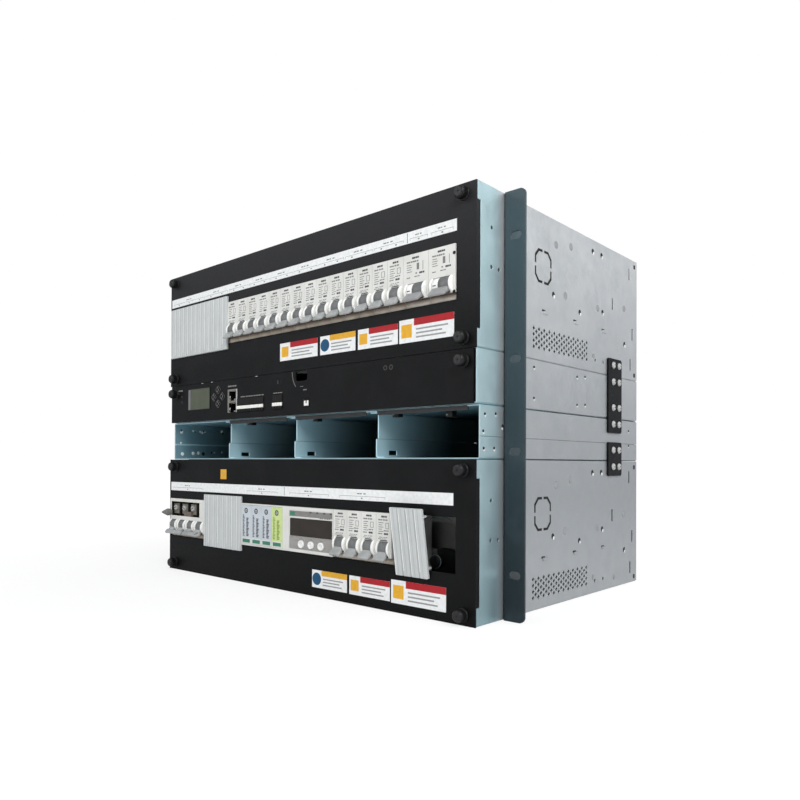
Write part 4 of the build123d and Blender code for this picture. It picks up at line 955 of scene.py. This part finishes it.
def make_ports():
    """Stacked network sockets: metal shell, black throats with latch grooves, bright contacts, and a painted
    highlight down the shell's right edge.
    """
    build = Build("port_shell", "black_plastic", "bright_steel", "edge_glint")
    body = Build("port_shell", "black_plastic", "bright_steel")
    x, bottom = -95.8, CONTROLLER_Z + 7.2
    front = PANEL_Y - 0.2
    body.box("port_shell", x - 8.8, x + 8.8, front, front + 22, bottom, bottom + 26)
    tools = []
    for level in (6.5, 19.5):
        tool = Build("port_shell", "black_plastic", "bright_steel")
        tool.box("black_plastic", x - 6.1, x + 6.1, front - 1, front + 14,
                 bottom + level - 4.3, bottom + level + 4.3)
        tools.append(tool.mesh)
        groove = Build("port_shell", "black_plastic", "bright_steel")
        groove.box("black_plastic", x - 3, x + 3, front - 1, front + 14, bottom + level - 6.3, bottom + level)
        tools.append(groove.mesh)
    result = cut_mesh(body.mesh, tools)
    for face in result.faces:
        middle = face.calc_center_median() / MM
        if middle.y > front + 0.1 and abs(middle.x - x) < 6.2 and middle.y < front + 14.1:
            face.material_index = 1
    build.copy_at(result, [(0, 0, 0)])
    for level in (6.5, 19.5):
        for contact in range(8):
            place = x - 4.4 + contact * 1.26
            build.box("bright_steel", place - 0.3, place + 0.3, front + 1.2, front + 9, bottom + level + 3.6,
                      bottom + level + 4.0)
        build.box("bright_steel", x - 6.0, x - 4.4, front + 0.4, front + 3.2,
                  bottom + level - 3.6, bottom + level - 0.8)
    # Painted highlight down the shell's right edge.
    build.box("edge_glint", x + 7.9, x + 8.75, front - 0.5, front, bottom + 0.3, bottom + 25.7)
    build.done("network_ports_look", bevel=0.15, replaced=["network_ports"])


def make_terminals():
    """Pluggable terminal rows: dark bodies, a white row of clamps and dark teeth, and a white socket."""
    build = Build("black_plastic", "terminal_white", "slot_dark")
    base = CONTROLLER_Z + 7.2
    front = PANEL_Y - 1.5
    for left, width, poles in ((-87.0, 45.4, 12), (-26.6, 15.2, 4)):
        build.box("black_plastic", left, left + width, front + 0.9, front + 16, base, base + 15)
        pitch = width / poles
        for pole in range(poles):
            x = left + pole * pitch
            build.box("terminal_white", x + 0.2, x + pitch - 0.15, front, front + 4, base + 3.2, base + 6.6)
            build.box("black_plastic", x + 0.5, x + pitch - 0.5, front + 0.2, front + 2,
                      base + 0.6, base + 3.0)
            build.box("slot_dark", x + 0.9, x + pitch - 0.9, front + 0.7, front + 1, base + 8.2, base + 12.6)
    left, right, low, top = 19.4, 28.8, base, base + 7.6
    back, lip = front + 17.3, PANEL_Y - 0.2
    walls = ((left, left + 1.2, low, top), (right - 1.2, right, low, top),
             (left + 1.2, right - 1.2, low, low + 1.2), (left + 1.2, right - 1.2, top - 1.2, top))
    for x0, x1, z0, z1 in walls:
        build.box("black_plastic", x0, x1, lip, back, z0, z1)
    build.box("terminal_white", left + 1.2, right - 1.2, lip + 0.3, back, low + 1.2, top - 1.2)
    build.box("slot_dark", left + 4.0, right - 4.2, lip + 0.1, lip + 0.3, low + 3.6, top - 1.2)
    build.done("terminal_blocks_look", bevel=0.12, replaced=["terminal_blocks"])


# Rectifier shelf

# Marks inside the left wall: depth, height in the shelf, radius
WALL_RIVETS = (
    (-25.0, 34.2, 2.2), (-26.1, 20.6, 1.2), (-8.2, 35.9, 1.3), (-4.0, 36.2, 0.7), (2.5, 35.4, 1.3),
    (5.6, 34.3, 1.5), (9.7, 35.1, 0.8), (36.1, 36.6, 1.9), (-23.6, 6.8, 2.3), (-8.0, 7.7, 2.2),
    (-0.2, 8.2, 2.0), (24.5, 8.9, 1.0), (36.3, 9.5, 1.3), (-18.1, 1.0, 1.0), (-11.6, 1.0, 1.2))
WALL_HOLES = (
    (-25.4, 35.9, 1.3), (-4.6, 35.0, 0.9), (7.3, 36.0, 0.9), (7.3, 7.2, 2.4),
    (20.0, 9.1, 1.1), (37.5, 34.6, 1.4))


def make_shelf_details():
    """Lips under the cover's edge in painted shade, catch hooks with a painted highlight, side seams, and
    rivets and holes at the left.
    """
    build = Build("lip_painted_shade", "black_plastic", "soft_print", "cheek_white", "slot_dark", "galvanised_inner")
    top = SHELF_Z + 42.8
    for wall in (-110.5, 0.0, 110.5):
        right = min(wall + 98.5, 214)
        # Lips under the cover's edge: near-black painted shade over the flange.
        build.box("lip_painted_shade", wall + 1.4, right, -33.8, -32.4, top - 3.0, top)
        build.box("lip_painted_shade", wall + 1.4, right, -34.12, -34.02, top - 0.2, top + 0.9)
    for x, drop in ((-78.4, 0), (25.6, 0), (129.0, 0), (186.9, 2.6)):
        build.box("black_plastic", x - 1.6, x + 5.0, -30.6, -24, top - 5.2 - drop, top)
        # Grey mark on each hook: painted highlight.
        build.box("soft_print", x - 1.2, x + 0.6, -31.0, -30.6, top - 3.6 - drop, top - 2.6 - drop)
    for side in (-1, 1):
        x0, x1 = sorted((side * 219.62, side * 219.79))
        build.box("galvanised_inner", x0, x1, -33.5, 250, SHELF_Z + 17.4, SHELF_Z + 19.4)
    for name, x, marks in (("cheek_white", -219.78, WALL_RIVETS), ("slot_dark", -219.74, WALL_HOLES)):
        for y, z, radius in marks:
            build.turned(name, (x, y, SHELF_Z + z), (1, 0, 0), [(0, radius), (0.15, radius * 0.9)], 20)
    build.done("shelf_details", bevel=0.15)


def make_window_inside():
    """A round knob with a thin ring, its block and a pale arc over them, seen through the open window."""
    build = Build("black_plastic", "window_ring")
    knob = [(0, 5.6), (7, 5.6), (8.5, 4.8), (9, 2.6)]
    build.turned("black_plastic", (169, -16, 45.6), (0, -1, 0), knob, 40)
    ring = [(0, 6.1), (0.5, 6.2), (0.8, 5.9)]
    build.turned("window_ring", (169, -22, 45.6), (0, -1, 0), ring, 40)
    build.box("black_plastic", 166, 200, -16, -8, 36, 56)
    for step in range(14):
        a0, a1 = (math.radians(62 + 56 * (step + i) / 14) for i in (0, 1))
        points = [(176 + 24 * math.cos(a), -24, 60 + r * math.sin(a)) for r in (24.0, 24.9) for a in (a0, a1)]
        build.faces(points, [(0, 1, 3, 2)], "window_ring")
    build.done("window_inside", bevel=0.2)


# Small parts of the fronts and sides

def make_thumbscrews():
    """Captive thumbscrews: collar, knurled head and a cross recess in its face."""
    places = [(s * 209.0, base + z) for base in (0, UPPER_Z) for s in (-1, 1) for z in (8.5, 124.45)]
    places += [(s * 209.0, CONTROLLER_Z + 34.55) for s in (-1, 1)]
    build = Build("black_screw", "screw_face")
    for x, z in places:
        collar = [(0, 5.6), (1.0, 5.6), (1.3, 5.2), (1.3, 4.2)]
        build.turned("black_screw", (x, PANEL_Y, z), (0, -1, 0), collar, 40)
        knurl = []
        steps = 80
        for distance, radius, deep in ((1.2, 4.7, 0), (1.7, 5.15, 1), (6.9, 5.15, 1), (7.5, 4.7, 0)):
            ring = []
            for i in range(steps):
                angle = 2 * math.pi * i / steps
                r = radius - (0.28 if deep and i % 2 else 0)
                ring.append((x + r * math.cos(angle), PANEL_Y - distance, z + r * math.sin(angle)))
            knurl.append(ring)
        build.loft("black_screw", knurl, smooth=False)
        face = [(7.4, 4.6), (8.2, 4.4), (8.55, 3.7), (8.6, 3.0)]
        build.turned("screw_face", (x, PANEL_Y, z), (0, -1, 0), face, 40)
        for u, v in ((2.3, 0.45), (0.45, 2.3)):
            build.box("black_screw", x - u, x + u, PANEL_Y - 8.63, PANEL_Y - 8.5, z - v, z + v)
    build.done("thumbscrews_look", replaced=["thumbscrews"])


def make_side_screws():
    """Round screw heads on the joiner plates, with a washer and a cross recess."""
    build = Build("screw_dull", "black_screw")
    head = [(0, 3.5), (0.7, 3.5), (0.8, 3.2), (1.6, 2.9), (2.1, 2.2), (2.35, 1.2), (2.4, 0.5)]
    for side in (-1, 1):
        for y in (213.3, 227.6):
            for z in (127.15, 144.55, 171.6, 189.0, 216.05, 233.45):
                build.turned("screw_dull", (side * 223, y, z), (side, 0, 0), head, 32)
                for u, v in ((1.5, 0.35), (0.35, 1.5)):
                    x0, x1 = sorted((side * 225.1, side * 225.42))
                    build.box("black_screw", x0, x1, y - u, y + u, z - v, z + v)
    build.done("side_screws_look", replaced=["side_screws"])


# Right side walls: depth and height, each unit's from its own base
KNOCKOUT_Y, KNOCKOUT_Z = PANEL_Y + 107.7, 85.0
DIMPLES = ((92, 110.5), (121.5, 115), (110.4, 66.4), (180.5, 65.8), (245.7, 76))
RIGHT_HOLES = ((86.7, 63.4), (140.2, 55.4), (191.6, 63.4), (168.8, 121.2), (189.1, 121.4), (246.5, 37.3))
SMALL_RIVETS = (
    (-27.2, 169.7), (-11.2, 170.6), (-29.5, 155.9), (-28.7, 142.1), (-13.4, 142.4), (51.5, 215.3),
    (51.5, 187.9), (134.6, 214.1), (151.9, 215.7), (134.7, 187.0),
    (152.0, 188.1), (16.1, 174.0), (258, 150), (258, 166))


def knockout_outline(build, x, z):
    """Dark broken outline of a knock-out for a cable, laid over the cut in the side wall."""
    outer, wide = 15.2, 2.3
    for side in (-1, 1):
        for end in (-1, 1):
            for points in (((0.11, 1), (0.6, 1)), ((0.6, 1), (1, 0.6)), ((1, 0.6), (1, 0.11))):
                corners = []
                for reach in (outer, outer - wide):
                    for u, v in points:
                        corners.append((x + 0.06, KNOCKOUT_Y + side * u * reach, z + end * v * reach))
                order = (0, 1, 3, 2) if side * end > 0 else (0, 2, 3, 1)
                build.faces(corners, [order], "slot_dark")


def make_side_details():
    """Dimples and pressed rings in painted shade, dark holes with painted glints, louvres with painted shade
    and a painted highlight, knock-outs, the vents' dark backing of painted shade, and rivets with painted
    glints on the right side walls.
    """
    build = Build("slot_dark", "hole_glint", "pressed_painted_shade")
    x = HALF_WIDTH
    dimple = [(0, 3.6), (0.08, 3.2)]
    for base in (0, UPPER_Z):
        # Dimples: flat grey discs of painted shade.
        for y, z in DIMPLES:
            build.turned("pressed_painted_shade", (x, y, base + z), (1, 0, 0), dimple, 32)
        # Holes: dark discs of painted shade, each with a painted glint.
        for y, z in RIGHT_HOLES:
            build.turned("slot_dark", (x, y, base + z), (1, 0, 0), [(0, 2.7), (0.06, 2.6)], 28)
            build.turned("hole_glint", (x, y + 1.5, base + z - 1.7), (1, 0, 0), [(0, 1.6), (0.12, 1.5)], 24)
        # Louvres: painted shade above, a painted highlight below.
        for y in (70.1, 131.1, 194.2):
            build.box("slot_dark", x, x + 0.06, y - 4.5, y + 1.6, base + 44.8, base + 46.6)
            build.box("hole_glint", x, x + 0.06, y - 0.5, y + 5.0, base + 43.0, base + 44.2)
        knockout_outline(build, x, base + KNOCKOUT_Z)
        # Dark sheet behind the vents: painted shade.
        build.box("slot_dark", x - 4.0, x - 3.6, 48, 162, base + 6, base + 33)
        # Pressed rings in the grey of painted shade.
        for depth, z in ((210.7, 16.5), (261, 10.8)):
            build.turned("pressed_painted_shade", (x, PANEL_Y + depth, base + z), (1, 0, 0),
                         [(0, 2.6), (0.3, 2.4), (0.3, 1.5), (0.1, 1.3)], 28)
        for z in (6.0, 126.5):
            build.box("slot_dark", x, x + 0.05, 271, 275.5, base + z - 2.2, base + z + 2.2)
    rivet = [(0, 1.3), (0.35, 1.1), (0.5, 0.5)]
    # Rivets with a painted glint beside each.
    for y, z in SMALL_RIVETS:
        build.turned("hole_glint", (x, y + 0.5, z - 0.9), (1, 0, 0), [(0, 1.5), (0.1, 1.4)], 20)
        build.turned("slot_dark", (x, y, z), (1, 0, 0), rivet, 20)
    # Two more holes in painted shade with painted glints.
    for y, z in ((-0.5, 160.9), (19.4, 161.4)):
        build.turned("slot_dark", (x, y, z), (1, 0, 0), [(0, 1.7), (0.05, 1.7)], 20)
        build.turned("hole_glint", (x, y - 0.4, z - 2.0), (1, 0, 0), [(0, 1.3), (0.08, 1.0)], 20)
    build.done("side_details")


def sticker(build, x0, x1, z0, z1, band, mark):
    """A plain sticker: white field, a colour band, a plain shape and grey lines."""
    y = PANEL_Y - 0.12
    w, h = x1 - x0, z1 - z0
    build.box("label_white", x0, x1, y, PANEL_Y - 0.01, z0, z1)
    front = y - 0.02

    def patch(name, a, b, c, d):
        print_bars(build, name, x0, z0, front, [(a * w, b * w, c * h, d * h)])

    square = 0.28
    patch(band, square, 1.0, 0.70, 1.0)
    for i, share in enumerate((0.90, 0.74, 0.84)):
        line_end = square + 0.04 + (0.92 - square) * share
        patch("label_grey", square + 0.04, line_end, 0.50 - i * 0.17, 0.57 - i * 0.17)
    cx, cz = x0 + square / 2 * w, z0 + h / 2
    r = min(0.36 * h, square * w * 0.46)
    if mark == "disc":
        print_disc(build, "label_blue", cx, cz, front, r, steps=32)
    else:
        print_bars(build, "label_amber", cx, cz, front, [(-r * 0.8, r * 0.8, -r * 0.8, r * 0.8)])


def make_stickers():
    build = Build("label_white", "label_red", "label_yellow", "label_blue", "label_amber", "label_grey")
    for x0, x1, z0, z1, band, mark in (
            (-15.5, 40, UPPER_Z + 11.5, UPPER_Z + 29.5, "label_red", "square"),
            (43.7, 90.4, UPPER_Z + 11.5, UPPER_Z + 29.5, "label_yellow", "disc"),
            (93.6, 141, UPPER_Z + 11.3, UPPER_Z + 29.5, "label_red", "square"),
            (142.6, 200, UPPER_Z + 11.0, UPPER_Z + 31, "label_red", "square"),
            (34, 81, 9, 26, "label_yellow", "disc"), (84, 133, 8.7, 26, "label_red", "square"),
            (134.5, 193, 8, 28.3, "label_red", "square")):
        sticker(build, x0, x1, z0, z1, band, mark)
    build.box("label_yellow", -117, -106, PANEL_Y - 0.12, PANEL_Y - 0.01, 111, 122)
    print_bars(build, "label_grey", -117, 111, PANEL_Y - 0.14, [(3.5, 7.5, 3.5, 4.3), (3.5, 7.5, 6.5, 7.3)])
    build.done("stickers")


def label_strip(build, x0, x1, z0, z1, groups, dark_x):
    """Long white label over a breaker row: brackets, ticks and small marks."""
    y = PANEL_Y - 0.15
    build.box("label_white", x0, x1, y, PANEL_Y - 0.01, z0, z1)
    h = z1 - z0
    for left, right, cells in groups:
        width = right - left
        bars = [(0, width, h * 0.36, h * 0.39), (0, 0.3, h * 0.2, h * 0.36),
                (width - 0.3, width, h * 0.2, h * 0.36)]
        for cell in range(cells):
            middle = (cell + 0.5) * width / cells
            bars.append((middle - 0.8, middle + 0.9, h * 0.14, h * 0.26))
        half = min(width * 0.2, 6)
        bars += broken_line(width / 2 - half, width / 2 + half, h * 0.56, h * 0.66, 3)
        print_bars(build, "soft_print", left, z0, y - 0.02, bars)
    print_bars(build, "dark_print", dark_x, z0, y - 0.03, [(-0.3, 0.3, h * 0.08, h * 0.92)])


def make_label_strips():
    build = Build("label_white", "soft_print", "dark_print")
    groups = [(-214, -150, 3), (-148, -106, 2)]
    groups += [(-103 + i * 36, -69 + i * 36, 2) for i in range(7)]
    groups += [(154, 173, 1), (177, 199, 1)]
    label_strip(build, -218.6, 202.4, UPPER_Z + 96.3, UPPER_Z + 106.2, groups, 151.2)
    groups = [(-213, -152.4, 1), (-69.2, -18.5, 1), (-0.1, 56.6, 1), (71.1, 127.3, 1)]
    label_strip(build, -218.3, 199.8, 95.6, 105.7, groups, -7.8)
    build.done("label_strips")


STRIP_HALF = 29.5
RIB_PITCH = 8.75
RIB_TOP = 2.8


def strip_section(width):
    """Section of a ribbed strip with rounded ribs."""
    ribs = round(width / RIB_PITCH)
    step = width / ribs
    points = [(0, 0)]
    for rib in range(ribs):
        a, b = rib * step, (rib + 1) * step
        points += [(a, -2.0), (a + 0.45, -2.0), (a + 0.75, -2.62), (a + 1.15, -2.8),
                   (b - 1.15, -2.8), (b - 0.75, -2.62), (b - 0.45, -2.0)]
    return points + [(width, -2.0), (width, 0)]


STRIP = ("grey_plastic", "groove_line", "cheek_white")


def strip_shape(width):
    """One ribbed strip with its two clip ledges, from x zero, with painted shade in the grooves, a painted
    highlight on each rib and a fine dark line down each rib.
    """
    build = Build(*STRIP)
    outline = strip_section(width)
    rings = [[(x, PANEL_Y + y, z) for x, y in outline] for z in (-STRIP_HALF, STRIP_HALF)]
    build.loft("grey_plastic", rings, smooth=False)
    for z0, z1 in ((21.3, 22.8), (-22.8, -21.3)):
        build.box("grey_plastic", 1.5, width - 1.5, PANEL_Y - 0.5, PANEL_Y + 6, z0, z1)
    ribs = round(width / RIB_PITCH)
    step = width / ribs
    for rib in range(ribs):
        left = rib * step
        start = -STRIP_HALF + 0.3 + (rib * 11 % 7)
        # Per rib: painted shade in the groove, a painted highlight near its left edge, and a fine dark line
        # mid-rib.
        for name, x0, x1, rise, end, low in (
                ("groove_line", 0.02, 0.42, 2.06, 0.1, -STRIP_HALF + 0.1),
                ("cheek_white", 1.15, 1.75, 2.83, 0.3, start),
                ("groove_line", 4.3, 4.5, 2.83, 0.3, -STRIP_HALF + 0.3)):
            front = 2.0 if rise < RIB_TOP else RIB_TOP
            build.box(name, left + x0, left + x1, PANEL_Y - rise, PANEL_Y - front, low, STRIP_HALF - end)
    return build.mesh


def make_strips():
    """Blanking strips, and the loose one that leans out about its lower edge."""
    build = Build(*STRIP)
    for left, width, middle in ((-218, 114, UPPER_MIDDLE), (-146, 69, LOWER_MIDDLE)):
        build.copy_at(strip_shape(width), [(left, 0, middle)])
    build.done("blanking_strips_look", bevel=0.2, replaced=["blanking_strips"])
    build = Build(*STRIP)
    build.copy_at(strip_shape(35), [(141.5, 0, 0)])
    foot = Vector((0, PANEL_Y, -STRIP_HALF)) * MM
    lean = Matrix.Translation(foot) @ Matrix.Rotation(math.radians(9.3), 4, "X") @ Matrix.Translation(-foot)
    move = Matrix.Translation(Vector((0, -0.3, LOWER_MIDDLE)) * MM)
    bmesh.ops.transform(build.mesh, matrix=move @ lean, verts=build.mesh.verts)
    build.done("loose_blanking_strip_look", bevel=0.2, replaced=["loose_blanking_strip"])


single_places = [(x, UPPER_MIDDLE) for x in BRANCHES] + [(x, LOWER_MIDDLE) for x in OUTLETS]
make_housings("breaker_housings_look", single_places,
              8.9, BARREL_WIDTH, breaker_print(8.9), "breaker_housings")
make_housings("wide_breakers_look", [(x, UPPER_MIDDLE) for x in WIDES], 13.4, WIDE_BARREL_WIDTH,
              wide_print(13.4), "wide_breaker_housings")
make_end_notches()
make_input_block()
make_all_toggles()
make_cartridges()
make_meter()
make_meter_buttons()
make_controller_print()
make_display_rim()
make_controller_buttons()
make_ports()
make_terminals()
make_shelf_details()
make_window_inside()
make_thumbscrews()
make_side_screws()
make_side_details()
make_stickers()
make_label_strips()
make_strips()


# Floor, light and camera

def make_stage():
    bpy.ops.mesh.primitive_plane_add(size=12, location=(0, 0, -0.0002))
    floor = bpy.context.object
    floor.name = "floor"
    material = bpy.data.materials.new("floor")
    material.use_nodes = True
    tree = material.node_tree
    shader = tree.nodes["Principled BSDF"]
    shader.inputs["Base Color"].default_value = (0.92, 0.92, 0.92, 1)
    shader.inputs["Roughness"].default_value = 0.9
    glow = tree.nodes.new("ShaderNodeEmission")
    glow.inputs["Color"].default_value = (1, 1, 1, 1)
    path = tree.nodes.new("ShaderNodeLightPath")
    glow.inputs["Strength"].default_value = 1.04
    where = tree.nodes.new("ShaderNodeNewGeometry")
    distance = tree.nodes.new("ShaderNodeVectorMath")
    distance.operation = "LENGTH"
    away = tree.nodes.new("ShaderNodeMapRange")
    for key, number in (("From Min", 0.25), ("From Max", 0.75), ("To Min", 0.72), ("To Max", 1.0)):
        away.inputs[key].default_value = number
    share = tree.nodes.new("ShaderNodeMath")
    share.operation = "MULTIPLY"
    mix = tree.nodes.new("ShaderNodeMixShader")
    tree.links.new(where.outputs["Position"], distance.inputs[0])
    tree.links.new(distance.outputs["Value"], away.inputs["Value"])
    tree.links.new(path.outputs["Is Camera Ray"], share.inputs[0])
    tree.links.new(away.outputs["Result"], share.inputs[1])
    tree.links.new(share.outputs[0], mix.inputs["Fac"])
    tree.links.new(shader.outputs[0], mix.inputs[1])
    tree.links.new(glow.outputs[0], mix.inputs[2])
    tree.links.new(mix.outputs[0], tree.nodes["Material Output"].inputs["Surface"])
    floor.data.materials.append(material)

    world = bpy.data.worlds.new("studio")
    bpy.context.scene.world = world
    world.use_nodes = True
    tree = world.node_tree
    back = tree.nodes["Background"]
    back.inputs["Color"].default_value = (0.92, 0.95, 1.0, 1)
    back.inputs["Strength"].default_value = 0.55
    seen = tree.nodes.new("ShaderNodeBackground")
    seen.inputs["Color"].default_value = (1, 1, 1, 1)
    path = tree.nodes.new("ShaderNodeLightPath")
    mix = tree.nodes.new("ShaderNodeMixShader")
    tree.links.new(path.outputs["Is Camera Ray"], mix.inputs["Fac"])
    tree.links.new(back.outputs[0], mix.inputs[1])
    tree.links.new(seen.outputs[0], mix.inputs[2])
    tree.links.new(mix.outputs[0], tree.nodes["World Output"].inputs["Surface"])


def make_lamp(name, place, target, size, power):
    light = bpy.data.lights.new(name, "AREA")
    light.shape = "RECTANGLE"
    light.size, light.size_y = size
    light.energy = power
    lamp = bpy.data.objects.new(name, light)
    bpy.context.scene.collection.objects.link(lamp)
    lamp.location = place
    lamp.rotation_euler = (Vector(target) - Vector(place)).to_track_quat("-Z", "Y").to_euler()


def make_camera():
    """Camera that was fitted to the photograph's straight edges."""
    yaw, pitch, roll = math.radians(-44.43), math.radians(0.42), math.radians(0.27)
    forward = Vector((math.sin(yaw) * math.cos(pitch), math.cos(yaw) * math.cos(pitch), math.sin(pitch)))
    level = Vector((math.cos(yaw), -math.sin(yaw), 0))
    upward = level.cross(forward)
    right = level * math.cos(roll) + upward * math.sin(roll)
    up = upward * math.cos(roll) - level * math.sin(roll)
    camera = bpy.data.cameras.new("camera")
    item = bpy.data.objects.new("camera", camera)
    bpy.context.scene.collection.objects.link(item)
    turn = Matrix((right, up, -forward)).transposed().to_4x4()
    item.matrix_world = Matrix.Translation((0.530, -0.5094, 0.1296)) @ turn
    camera.sensor_width = 36
    camera.lens = 698.7 / 800 * 36
    camera.shift_x = (400 - 339) / 800
    camera.shift_y = (458 - 400) / 800
    camera.clip_start, camera.clip_end = 0.01, 20
    bpy.context.scene.camera = item


make_stage()
make_lamp("key", (1.5, -0.9, 1.3), (0.0, 0.1, 0.18), (1.4, 1.0), 26)
make_lamp("fill", (-0.9, -1.6, 0.9), (0.0, 0.0, 0.18), (1.2, 1.2), 9)
make_lamp("side", (1.0, 0.25, 0.75), (0.22, 0.12, 0.30), (0.7, 0.5), 4)
make_camera()
bpy.context.scene.view_settings.view_transform = "Standard"
